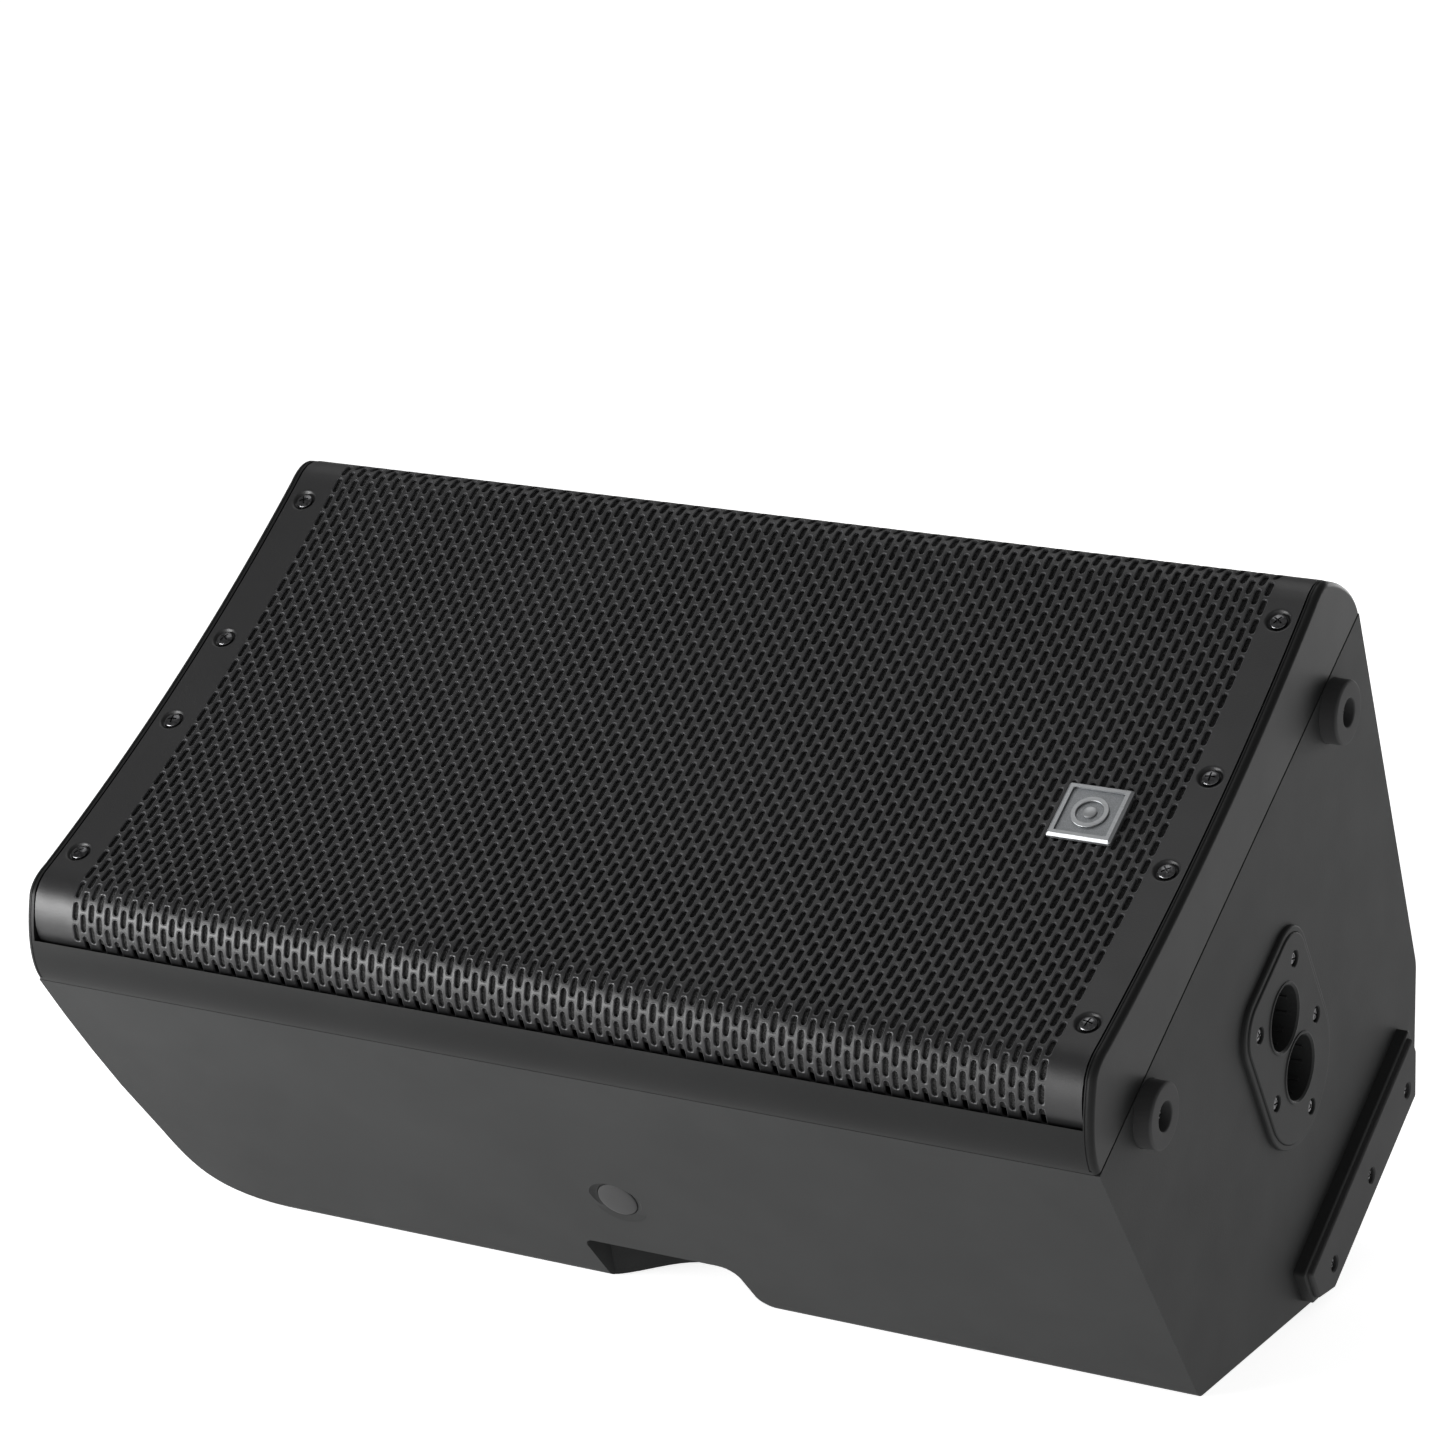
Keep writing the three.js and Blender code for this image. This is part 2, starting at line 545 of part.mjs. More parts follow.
piece('woofer_surround', turned([
  [128.4, 10.3], [131, 15], [135, 16.5], [139, 15], [141.5, 11.8], [152, 11.8], [152, 10.3], [140, 10.3],
  [135, 14.8], [130, 10.3],
], 36), FINISH.rubber, woofer);

piece('woofer_spider', turned([[39.3, -65.6], [74, -65.6], [74, -64], [39.3, -64]]), FINISH.cone, woofer);

piece('woofer_cone', turned([
  [38.9, -54], [90, -18], [128, 8], [128, 9.6], [89, -16], [38.9, -51.8],
], 36), FINISH.cone, woofer);
piece('woofer_dust_cap', turned([
  [48, -45], [40, -37], [25, -31], [0, -28.5], [0, -30], [25, -32.6], [40, -38.6], [46.6, -45],
], 24), FINISH.cone, woofer);
piece('voice_coil', ring(37.2, 38.5, -100, -53), FINISH.magnet, woofer);

// ---------------------------------------------------------------- horn and its driver

/** A closed ring of rings: each ring is {half: [x, y], corner, z}, and the last joins the first. */
function ringLoft(rings, steps = 4) {
  const loops = rings.map(({ half, corner, z }) =>
    rounded([[-half[0], -half[1], corner], [half[0], -half[1], corner], [half[0], half[1], corner],
      [-half[0], half[1], corner]], steps).map(([x, y]) => [x, y, z]));
  const count = loops[0].length;
  const positions = loops.flat(2);
  const index = [];
  loops.forEach((loop, i) => {
    const next = (i + 1) % loops.length;
    for (let k = 0; k < count; k += 1) {
      const a = i * count + k;
      const b = i * count + ((k + 1) % count);
      const c = next * count + k;
      const d = next * count + ((k + 1) % count);
      index.push(a, b, c, b, d, c);
    }
  });
  const geometry = new THREE.BufferGeometry();
  geometry.setAttribute('position', new THREE.Float32BufferAttribute(positions, 3));
  geometry.setIndex(index);
  return toSolid(geometry);
}

const flare = (x, y, corner, z) => ({ half: [x, y], corner, z });
piece('horn_flare', ringLoft([
  flare(97, 150, 34, BAFFLE + TOUCH), flare(97, 150, 34, 10), flare(84, 134, 30, 10), flare(62, 100, 28, -14),
  flare(38, 56, 24, -50), flare(18.1, 18.1, 18, -94), flare(40, 40, 39, -94), flare(40, 40, 39, -89),
  flare(24, 24, 23, -89), flare(42, 60, 27, -50), flare(66, 104, 30, -14),
  flare(86.5, 136.5, 30, BAFFLE + TOUCH),
]), FINISH.plastic, [HORN_X, 0, 0]);

piece('compression_driver', turned([
  [18, -94.3], [40, -94.3], [50, -102], [50, -140], [44, -150], [0, -150], [0, -108], [18, -108],
]), FINISH.magnet, [HORN_X, 0, 0]);

// ---------------------------------------------------------------- bass ports

for (const [name, side] of [['near', -1], ['far', 1]]) {
  piece(`port_${name}`, turned([
    [PORT.bore, -PORT.depth], [PORT.bore + PORT.wall, -PORT.depth], [PORT.bore + PORT.wall, BAFFLE + TOUCH],
    [PORT.bore + 9, BAFFLE + TOUCH], [PORT.bore + 9, 9], [PORT.bore + 4, 9], [PORT.bore, 3],
  ]), FINISH.plastic, [PORT.x, side * PORT.y, 0]);
}

// ---------------------------------------------------------------- amplifier panel and what it carries

const SOCKET_FLANGE = { x: [-15.5, 15.5], y: [-13, 13], sheet: 2.5 };
const SOCKET = { barrel: 12, length: 30, mouth: 8, deep: 16 };
const LATCH = { from: 9.6, sheet: 1.4, half: 3.5, out: 4.2, in: 5 }; // beside the mouth of an input socket
const SOCKET_ROW = -300;
const SOCKET_PLACES = [['input_socket_1', -4], ['input_socket_2', 34], ['link_socket', 72]];
const KNOB_ROW = -258;
const KNOB_PLACES = [['gain_knob_1', -4], ['gain_knob_2', 34]];
const ENCODER_Y = 82;
const DISPLAY = { x: [-240, -214], y: [-14, 46] };
const BUTTONS = [58, 72, 86];
const BUTTON_X = -228;
const BUTTON_RADIUS = 4;
const KNOB_SHAFT = 3;
const HEATSINK = { x: [-204, -96], y: [-28, 102] };
const INLET = { x: -66, y: 4, half: [13.8, 10.2] };
const ROCKER = { x: -66, y: 64, half: [11, 7], tilt: 12 }; // leans this many degrees either way
const FINS = { pitch: 12.8, width: 2, from: -3, to: -13 }; // heights from the panel's outer face

function amplifierPanel() {
  let solid = prism(panelOutline(-0.4), 'z', PANEL_Z, PANEL_Z + PANEL.sheet);
  const through = [PANEL_Z - 2, PANEL_Z + PANEL.sheet + 3];
  const drill = (x, y, radius) => {
    solid = solid.subtract(disc(radius, ...through).translate([x, y, 0]));
  };
  const window = (x, y, halfX, halfY) => {
    solid = solid.subtract(box([x - halfX, x + halfX], [y - halfY, y + halfY], through));
  };
  SOCKET_PLACES.forEach(([, y]) => drill(SOCKET_ROW, y, SOCKET.barrel + 0.4));
  KNOB_PLACES.forEach(([, y]) => drill(KNOB_ROW, y, KNOB_SHAFT + 0.6));
  drill(KNOB_ROW, ENCODER_Y, KNOB_SHAFT + 0.6);
  BUTTONS.forEach((y) => drill(BUTTON_X, y, BUTTON_RADIUS + TOUCH));
  window(INLET.x, INLET.y, INLET.half[0] + 0.4, INLET.half[1] + 0.4);
  window(ROCKER.x, ROCKER.y, ROCKER.half[0] + 0.4, ROCKER.half[1] + 0.4);
  const rim = 3;
  return solid.subtract(box([DISPLAY.x[0] + rim, DISPLAY.x[1] - rim],
    [DISPLAY.y[0] + rim, DISPLAY.y[1] - rim], through));
}
piece('amp_panel', amplifierPanel(), FINISH.panel);

function heatsink() {
  let solid = box(HEATSINK.x, HEATSINK.y, [PANEL_Z + FINS.from - TOUCH, PANEL_Z - TOUCH]);
  for (let y = HEATSINK.y[0]; y < HEATSINK.y[1]; y += FINS.pitch) {
    solid = solid.add(box(HEATSINK.x, [y, y + FINS.width], [PANEL_Z + FINS.to, PANEL_Z + FINS.from]));
  }
  return solid;
}
piece('amp_heatsink', heatsink(), FINISH.aluminium);

/** A panel socket: a square flange outside the panel and a barrel behind it, with a round mouth. */
function panelSocket() {
  const flange = prism(rectangle(SOCKET_FLANGE.x, SOCKET_FLANGE.y, 2), 'z', -SOCKET_FLANGE.sheet, -TOUCH);
  const latchSlot = box([LATCH.from - TOUCH, LATCH.from + LATCH.sheet + TOUCH],
    [-LATCH.half - TOUCH, LATCH.half + TOUCH], [-6, LATCH.in + 4]);
  return flange.add(disc(SOCKET.barrel, -1, SOCKET.length)).subtract(disc(SOCKET.mouth, -5, SOCKET.deep))
    .subtract(latchSlot);
}
for (const [name, y] of SOCKET_PLACES) {
  piece(name, panelSocket(), FINISH.plastic, [SOCKET_ROW, y, PANEL_Z]);
}
for (const [name, y] of SOCKET_PLACES.slice(0, 2)) {
  const latch = box([-LATCH.sheet / 2, LATCH.sheet / 2], [-LATCH.half, LATCH.half], [-LATCH.out, LATCH.in]);
  piece(`${name}_latch`, latch, FINISH.silver, [SOCKET_ROW + LATCH.from + LATCH.sheet / 2, y, PANEL_Z]);
}

/** A turned control knob with a pointer ridge, in front of the panel, and its shaft through it. */
function knob(radius, height) {
  const body = turned([
    [0, -height], [radius * 0.8, -height], [radius * 0.88, -height + 1], [radius, -1], [0, -1],
  ], 20);
  const pointer = box([-0.7, 0.7], [radius * 0.3, radius * 0.92], [-height - 0.5, -height + 1]);
  return body.add(pointer).add(disc(KNOB_SHAFT, -2, 12, 10));
}
for (const [name, y] of KNOB_PLACES) {
  piece(name, knob(7, 11), FINISH.plastic, [KNOB_ROW, y, PANEL_Z]);
}
piece('menu_encoder', knob(9, 11.5), FINISH.plastic, [KNOB_ROW, ENCODER_Y, PANEL_Z]);

BUTTONS.forEach((y, i) => {
  piece(`menu_button_${i + 1}`, disc(BUTTON_RADIUS, -2.2, 5), FINISH.rubber, [BUTTON_X, y, PANEL_Z]);
});

function displayWindow() {
  const glass = box(DISPLAY.x, DISPLAY.y, [PANEL_Z - 1.3, PANEL_Z - TOUCH]);
  const cell = box([DISPLAY.x[0] + 3.4, DISPLAY.x[1] - 3.4], [DISPLAY.y[0] + 3.4, DISPLAY.y[1] - 3.4],
    [PANEL_Z - 1, PANEL_Z + 5]);
  return glass.add(cell);
}
piece('display_window', displayWindow(), FINISH.plastic);

function mainsInlet() {
  const flange = prism(rectangle([-16, 16], [-12.5, 12.5], 3), 'z', -2.3, -TOUCH);
  const [halfX, halfY] = INLET.half;
  let solid = flange.add(box([-halfX, halfX], [-halfY, halfY], [-1, 24]));
  solid = solid.subtract(prism(rounded([[-11.8, -8], [11.8, -8], [11.8, 4], [7.5, 8], [-7.5, 8], [-11.8, 4]]),
    'z', -5, 17));
  for (const [x, y] of [[-7, -2], [0, 2.5], [7, -2]]) {
    solid = solid.add(box([x - 1.1, x + 1.1], [y - 2.2, y + 2.2], [3, 18]));
  }
  return solid;
}
piece('mains_inlet', mainsInlet(), FINISH.plastic, [INLET.x, INLET.y, PANEL_Z]);

function rockerFrame() {
  const flange = prism(rectangle([-13, 13], [-9, 9], 1.5), 'z', -2.2, -TOUCH);
  const [halfX, halfY] = ROCKER.half;
  const housing = box([-halfX, halfX], [-halfY, halfY], [-1, 20]);
  return flange.add(housing).subtract(box([1 - halfX, halfX - 1], [1 - halfY, halfY - 1], [-5, 9]));
}
piece('power_switch_frame', rockerFrame(), FINISH.plastic, [ROCKER.x, ROCKER.y, PANEL_Z]);

const rockerOutline = [[-8.9, -3.4], [0, -1.6], [8.9, -3.4], [9, 0.5], [2, 5], [-2, 5], [-9, 0.5]];
piece('power_rocker', prism(rockerOutline, 'y', -5.6, 5.6), FINISH.plastic,
  [ROCKER.x, ROCKER.y, PANEL_Z + 0.8], [0, THREE.MathUtils.degToRad(ROCKER.tilt), 0]);

// ---------------------------------------------------------------- electronics, leads and wadding

const BOARDS = { y: [-24, 98], z: -252, sheet: 1.6 };

/** A circuit board with blocks [x span, y span, height] on it for its larger parts. */
function circuitBoard(x, blocks) {
  const { y, z, sheet } = BOARDS;
  let solid = box(x, y, [z, z + sheet]);
  for (const [bx, by, height] of blocks) solid = solid.add(box(bx, by, [z + 1, z + height]));
  return solid;
}
piece('power_supply_board', circuitBoard([-148, -50], [
  [[-140, -112], [-16, 20], 30], [[-104, -84], [-16, 4], 32], [[-104, -84], [10, 30], 32],
  [[-140, -90], [44, 88], 36], [[-78, -58], [20, 60], 18],
]), FINISH.board);
piece('amplifier_board', circuitBoard([-252, -154], [
  [[-246, -236], [-18, 90], 24], [[-226, -196], [-10, 22], 26], [[-226, -196], [44, 76], 26],
  [[-182, -162], [0, 60], 16],
]), FINISH.board);
piece('signal_board', circuitBoard([-322, -262], [
  [[-300, -284], [16, 36], 5], [[-276, -268], [-10, 10], 8], [[-316, -306], [60, 80], 8],
]), FINISH.board);

/** A round lead along a smooth curve through the given points. */
function lead(points, radius) {
  const shape = new THREE.Shape().absarc(0, 0, radius, 0, Math.PI * 2);
  const path = new THREE.CatmullRomCurve3(points.map((p) => new THREE.Vector3(...p)));
  return toSolid(new THREE.ExtrudeGeometry(shape, { steps: 16, curveSegments: 4, extrudePath: path }));
}
piece('woofer_lead', lead([
  [-240, 40, -224], [-252, 60, -200], [-262, 80, -150], [-264, 96, -90], [-266, 90, -62],
], 2.4), FINISH.rubber);
piece('horn_lead', lead([
  [-270, 4, -240], [-300, 4, -215], [-380, 2, -185], [-460, 0, -172], [-516, 0, -153],
], 2), FINISH.rubber);

piece('wadding', prism(rectangle([-585, -400], [-95, 100], 20), 'z', -250, -205), FINISH.wadding);

// ---------------------------------------------------------------- place the wedge on its footprint

const bounds = new THREE.Box3().setFromObject(cabinet, true);
const middle = bounds.getCenter(new THREE.Vector3());
cabinet.position.set(-middle.x, -middle.y, -bounds.min.z);

const wedge = new THREE.Group();
wedge.add(cabinet);

export default wedge;
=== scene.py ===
"""Looks of a plastic stage loudspeaker that lies on its side as a monitor wedge.

Every piece is shaped in the cabinet's own frame, in millimetres: x is 0 at the end with the pole sockets and
runs to minus the length, y runs across the front with the near side at minus, and z comes out of the front,
with 0 at the joint between the front frame and the rear shell. Placement turns that frame into the row frame,
in metres.
"""

from __future__ import annotations

import functools
import logging
import math
from collections.abc import Callable, Iterable, Sequence
from dataclasses import dataclass, field
from enum import Enum, auto
from typing import Any

import bmesh
import bpy
import numpy as np
from mathutils import Matrix, Vector
from mathutils.geometry import delaunay_2d_cdt


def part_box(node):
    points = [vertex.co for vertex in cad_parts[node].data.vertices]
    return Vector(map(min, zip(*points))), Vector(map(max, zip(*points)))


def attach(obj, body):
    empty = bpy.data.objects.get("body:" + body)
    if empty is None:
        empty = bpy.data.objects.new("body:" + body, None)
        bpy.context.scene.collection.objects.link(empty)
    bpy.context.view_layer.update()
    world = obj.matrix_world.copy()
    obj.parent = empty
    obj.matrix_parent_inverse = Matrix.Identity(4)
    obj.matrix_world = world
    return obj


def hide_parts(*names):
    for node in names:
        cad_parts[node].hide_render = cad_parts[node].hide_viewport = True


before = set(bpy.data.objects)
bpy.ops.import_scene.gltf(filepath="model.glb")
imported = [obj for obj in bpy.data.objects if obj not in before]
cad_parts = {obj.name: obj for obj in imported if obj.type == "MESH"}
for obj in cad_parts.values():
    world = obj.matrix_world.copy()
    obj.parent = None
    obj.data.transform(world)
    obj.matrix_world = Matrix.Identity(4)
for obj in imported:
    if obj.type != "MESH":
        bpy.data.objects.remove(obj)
log = logging.getLogger("wedge")

Point = tuple[float, float]
Outline = list[Point]
Colour = tuple[float, float, float]

MILLIMETRE = 0.001
CABINET = "cabinet"  # the body that all fixed pieces ride on
LENGTH = 656.5
HALF_WIDTH = 196.65
DEPTH = 302.0
WEDGE_ANGLE = 34.0
GROOVE = 0.7  # half the shadow line between front frame and rear shell
NEAR_EDGE = (-181.0, -213.4)  # where the near side meets the floor face
FAR_EDGE = (154.25, -249.9)  # where the far side meets the rear chamfer
FOOT_Y, FOOT_Z = 140.2, -19.4
FOOT_BACK = 0.9  # how deep the round feet sit in the end face
SCREW_ENDS = (-16.6, -639.4)
SCREW_ACROSS = (139.8, 32.5, -32.5, -139.8)
EDGE_RADIUS = 4.2  # moulded outer edges of the cabinet


# ------------------------------------------------------------------ placement


@dataclass(frozen=True)
class Placement:
    """Where the cabinet's own frame lies in the row frame."""

    matrix: Matrix

    @classmethod
    def from_feet(cls) -> Placement:
        """Works the placement out from the two round feet, whose places in the cabinet are known.

        Returns:
            The placement, which turns millimetres in the cabinet into metres in the row frame.
        """
        near_low, near_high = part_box("foot_near")
        far_low, far_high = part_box("foot_far")
        near, far = (near_low + near_high) / 2, (far_low + far_high) / 2
        across = far - near
        turn = Matrix.Rotation(math.atan2(across.z, across.y), 4, "X")
        origin = (near + far) / 2 - turn @ Vector((0, 0, FOOT_Z * MILLIMETRE))
        origin.x = near_low.x + FOOT_BACK * MILLIMETRE
        return cls(Matrix.Translation(origin) @ turn @ Matrix.Scale(MILLIMETRE, 4))


PLACE = Placement.from_feet()


# ------------------------------------------------------------------ outlines


def rounded(corners: Sequence[Sequence[float]], steps: int = 8) -> Outline:
    """Rounds the corners of an outline by arcs.

    Args:
        corners: Points (u, v) or (u, v, radius), in order.
        steps: Straight steps in each arc.

    Returns:
        The outline's points.
    """
    outline: Outline = []
    for i, corner in enumerate(corners):
        here = Vector(corner[:2])
        radius = corner[2] if len(corner) > 2 else 0.0
        if radius <= 0:
            outline.append((here.x, here.y))
            continue
        before = (Vector(corners[i - 1][:2]) - here).normalized()
        after = (Vector(corners[(i + 1) % len(corners)][:2]) - here).normalized()
        half = before.angle(after) / 2
        centre = here + (before + after).normalized() * (radius / math.sin(half))
        first = here + before * (radius / math.tan(half)) - centre
        last = here + after * (radius / math.tan(half)) - centre
        sweep = math.atan2(first.cross(last), first.dot(last))
        for k in range(steps + 1):
            c, s = math.cos(sweep * k / steps), math.sin(sweep * k / steps)
            outline.append((centre.x + first.x * c - first.y * s, centre.y + first.x * s + first.y * c))
    return outline


def rectangle(x: Point, y: Point, radius: float = 0.0, steps: int = 6) -> Outline:
    """A rectangle between two x and two y values, with rounded corners."""
    corners = ((x[0], y[0]), (x[1], y[0]), (x[1], y[1]), (x[0], y[1]))
    return rounded([(*corner, radius) for corner in corners], steps)


def inset(outline: Outline, distance: float) -> Outline:
    """Moves a closed outline in by a distance.

    Args:
        outline: Points in order, with the inside on the left.
        distance: How far in; negative moves it out.

    Returns:
        The moved outline.
    """
    moved: Outline = []
    for i, point in enumerate(outline):
        here = Vector(point)
        to_here = (here - Vector(outline[i - 1])).normalized()
        from_here = (Vector(outline[(i + 1) % len(outline)]) - here).normalized()
        inward = Vector((-to_here.y, to_here.x))
        along = (inward + Vector((-from_here.y, from_here.x))).normalized()
        moved.append(tuple(here + along * (distance / along.dot(inward))))
    return moved


def curve(points: Sequence[Point], steps: int) -> Outline:
    """A Bezier curve of any degree through its control points, as a list of points."""
    degree = len(points) - 1
    line: Outline = []
    for k in range(steps + 1):
        t = k / steps
        weights = [math.comb(degree, i) * t**i * (1 - t) ** (degree - i) for i in range(degree + 1)]
        line.append(tuple(sum(w * p[axis] for w, p in zip(weights, points)) for axis in (0, 1)))
    return line


def smooth_step(low: float, high: float, value: float) -> float:
    """0 below low, 1 above high and a smooth rise between them."""
    t = min(1.0, max(0.0, (value - low) / (high - low)))
    return t * t * (3 - 2 * t)


# ------------------------------------------------------------------ shaders


class Signal:
    """A number, colour or vector in a material: one output socket, with arithmetic on numbers."""

    def __init__(self, shader: Shader, socket: bpy.types.NodeSocket) -> None:
        self.shader = shader
        self.socket = socket

    def _math(self, operation: str, first: Signal | float, second: Signal | float) -> Signal:
        """Adds one Math node."""
        return self.shader.add("ShaderNodeMath", {"operation": operation}, {0: first, 1: second})

    def __add__(self, other: Signal | float) -> Signal:
        """self + other."""
        return self._math("ADD", self, other)

    def __radd__(self, other: float) -> Signal:
        """other + self."""
        return self._math("ADD", other, self)

    def __sub__(self, other: Signal | float) -> Signal:
        """self - other."""
        return self._math("SUBTRACT", self, other)

    def __rsub__(self, other: float) -> Signal:
        """other - self."""
        return self._math("SUBTRACT", other, self)

    def __mul__(self, other: Signal | float) -> Signal:
        """self * other."""
        return self._math("MULTIPLY", self, other)

    def __rmul__(self, other: float) -> Signal:
        """other * self."""
        return self._math("MULTIPLY", other, self)


class Shader:
    """A material while its nodes are being made."""

    def __init__(self, name: str) -> None:
        self.material = bpy.data.materials.new(name)
        self.material.use_nodes = True
        self.tree = self.material.node_tree
        self.tree.nodes.clear()
        self.surface = self.tree.nodes.new("ShaderNodeBsdfPrincipled")
        output = self.tree.nodes.new("ShaderNodeOutputMaterial")
        self.tree.links.new(self.surface.outputs[0], output.inputs["Surface"])

    def add(self, kind: str, settings: dict[str, Any] | None = None,
            inputs: dict[str | int, Any] | None = None, output: str | int = 0) -> Signal:
        """Adds one node.

        Args:
            kind: Blender's name of the node type.
            settings: The node's own properties.
            inputs: Values or signals for its sockets, by name or number.
            output: The output socket that is returned.

        Returns:
            The chosen output.
        """
        node = self.tree.nodes.new(kind)
        for key, value in (settings or {}).items():
            setattr(node, key, value)
        for key, value in (inputs or {}).items():
            self.feed(node.inputs[key], value)
        return Signal(self, node.outputs[output])

    def feed(self, socket: bpy.types.NodeSocket, value: Any) -> None:
        """Links a signal to a socket, or sets the socket's value."""
        if isinstance(value, Signal):
            self.tree.links.new(value.socket, socket)
        elif isinstance(value, tuple) and socket.type == "RGBA":
            socket.default_value = (*value, 1.0)
        else:
            socket.default_value = value

    def places(self, stretch: tuple[float, float, float] = (1.0, 1.0, 1.0)) -> Signal:
        """Places on the piece in metres, stretched along its axes."""
        plain = self.add("ShaderNodeTexCoord", output="Object")
        return self.add("ShaderNodeVectorMath", {"operation": "MULTIPLY"}, {0: plain, 1: stretch})

    def noise(self, size: float, detail: float = 3.0, stretch: tuple[float, float, float] = (1, 1, 1),
              lift: float = 0.0) -> Signal:
        """Cloudy noise.

        Args:
            size: Size of its features in millimetres.
            detail: Octaves of finer noise in it.
            stretch: How it is stretched along the axes.
            lift: Distortion.

        Returns:
            Values around 0.5.
        """
        inputs = {"Vector": self.places(stretch), "Scale": 1 / (size * MILLIMETRE), "Detail": detail,
                  "Distortion": lift}
        return self.add("ShaderNodeTexNoise", None, inputs)

    def cells(self, size: float, smooth: float = 0.6) -> Signal:
        """Distance from the middle of soft cells of a size in millimetres."""
        inputs = {"Vector": self.places(), "Scale": 1 / (size * MILLIMETRE), "Smoothness": smooth}
        return self.add("ShaderNodeTexVoronoi", {"feature": "SMOOTH_F1"}, inputs)

    def mix(self, share: Signal | float, first: Signal | Colour, second: Signal | Colour) -> Signal:
        """Mixes two colours."""
        node = self.add("ShaderNodeMix", {"data_type": "RGBA"}, {0: share}).socket.node
        self.feed(node.inputs[6], first)
        self.feed(node.inputs[7], second)
        return Signal(self, node.outputs[2])

    def between(self, value: Signal, low: float, high: float) -> Signal:
        """A clamped ramp from 0 at low to 1 at high."""
        inputs = {"Value": value, "From Min": low, "From Max": high}
        return self.add("ShaderNodeMapRange", {"interpolation_type": "SMOOTHSTEP", "clamp": True}, inputs)

    def bump(self, height: Signal, distance: float, strength: float = 1.0,
             under: Signal | None = None) -> Signal:
        """Turns a height into a normal.

        Args:
            height: Values from 0 to 1.
            distance: Height of 1, in millimetres.
            strength: Share of the effect.
            under: A normal that this relief lies on.

        Returns:
            The normal.
        """
        inputs: dict[str | int, Any] = {
            "Height": height, "Distance": distance * MILLIMETRE, "Strength": strength,
        }
        if under is not None:
            inputs["Normal"] = under
        return self.add("ShaderNodeBump", None, inputs)


class Pattern(Enum):
    """How a finish varies over its surface."""

    GRAIN = auto()
    POWDER = auto()
    BRUSHED = auto()
    CAST = auto()
    PORES = auto()
    FIBRE = auto()
    CIRCUIT = auto()
    SATIN = auto()


RIM_HIGHLIGHT_GAIN = 4.6  # painted highlight: how much brighter the colour of the rounded rims of punched holes is than the sheet


@dataclass(frozen=True)
class Finish:
    """One material of the cabinet.

    Attributes:
        name: Name of the material.
        slot: The record's material slot; not used.
        dark: Colour in the hollows of the pattern.
        light: Colour on its heights.
        rough: Lowest and highest roughness.
        pattern: How it varies.
        size: Size of the pattern in millimetres.
        depth: Depth of its relief in millimetres.
        metal: Metallic value.
        coat: Clear coat weight.
        sheen: Soft glow of fabric at grazing angles.
        rims: Whether punched holes have rounded rims, whose colour is brightened as a painted highlight.
        specular: Strength of the reflection.
    """

    name: str
    slot: str
    dark: Colour
    light: Colour
    rough: Point = (0.5, 0.6)
    pattern: Pattern = Pattern.SATIN
    size: float = 1.0
    depth: float = 0.05
    metal: float = 0.0
    coat: float = 0.0
    sheen: float = 0.0
    rims: bool = False
    specular: float = 0.5

    def relief(self, shader: Shader) -> Signal:
        """The pattern's height, from 0 to 1."""
        if self.pattern is Pattern.GRAIN:
            cells = shader.cells(self.size)
            return shader.between(cells * 0.7 + shader.noise(self.size * 0.45, 2) * 0.5, 0.15, 0.85)
        if self.pattern is Pattern.POWDER:
            return shader.between(shader.noise(self.size, 2), 0.3, 0.7)
        if self.pattern is Pattern.BRUSHED:
            return shader.between(shader.noise(self.size, 4, (0.04, 1.0, 1.0)), 0.3, 0.7)
        if self.pattern is Pattern.CAST:
            lumps = shader.noise(self.size, 5) * 0.6 + shader.cells(self.size * 1.6) * 0.5
            return shader.between(lumps, 0.2, 0.8)
        if self.pattern is Pattern.PORES:
            return shader.between(shader.cells(self.size, 0.15), 0.15, 0.75)
        if self.pattern is Pattern.FIBRE:
            return shader.between(shader.noise(self.size, 6, (1.0, 1.0, 1.0), 1.6), 0.3, 0.7)
        if self.pattern is Pattern.CIRCUIT:
            return shader.between(shader.noise(self.size, 1, (1.0, 1.0, 0.2)), 0.45, 0.55)
        return shader.between(shader.noise(self.size, 2), 0.35, 0.65)

    def build(self) -> bpy.types.Material:
        """Makes the material.

        Returns:
            A material whose colour, roughness and normal vary with the pattern, and whose colour carries a
            painted highlight on the rims where it has them.
        """
        shader = Shader(self.name)
        relief = self.relief(shader)
        broad = shader.between(shader.noise(90, 3), 0.3, 0.7)
        share = relief * 0.6 + broad * 0.4
        colour = shader.mix(share, self.dark, self.light)
        low, high = self.rough
        smear = shader.noise(28, 4)
        normal = shader.bump(relief, self.depth)
        if self.rims:
            marked = shader.add("ShaderNodeAttribute", {"attribute_name": "rim"}, output="Fac")
            rim = shader.between(marked, 0.6, 1.0)
            # painted highlight: the rims' colour is brightened to stand in for light caught by their rounded
            # edges
            colour = shader.mix(rim, colour, tuple(min(1.0, RIM_HIGHLIGHT_GAIN * c) for c in self.light))
            normal = shader.bump(1.0 - rim, 0.32, 1.0, normal)
        surface = shader.surface.inputs
        shader.feed(surface["Base Color"], colour)
        shader.feed(surface["Roughness"], low + (high - low) * (smear * 0.7 + relief * 0.3))
        shader.feed(surface["Normal"], normal)
        surface["Metallic"].default_value = self.metal
        surface["Coat Weight"].default_value = self.coat
        surface["Coat Roughness"].default_value = 0.15
        surface["Sheen Weight"].default_value = self.sheen
        surface["Specular IOR Level"].default_value = self.specular
        return shader.material


@functools.cache
def material_of(finish: Finish) -> bpy.types.Material:
    """The one material of a finish, made when it is first asked for."""
    return finish.build()


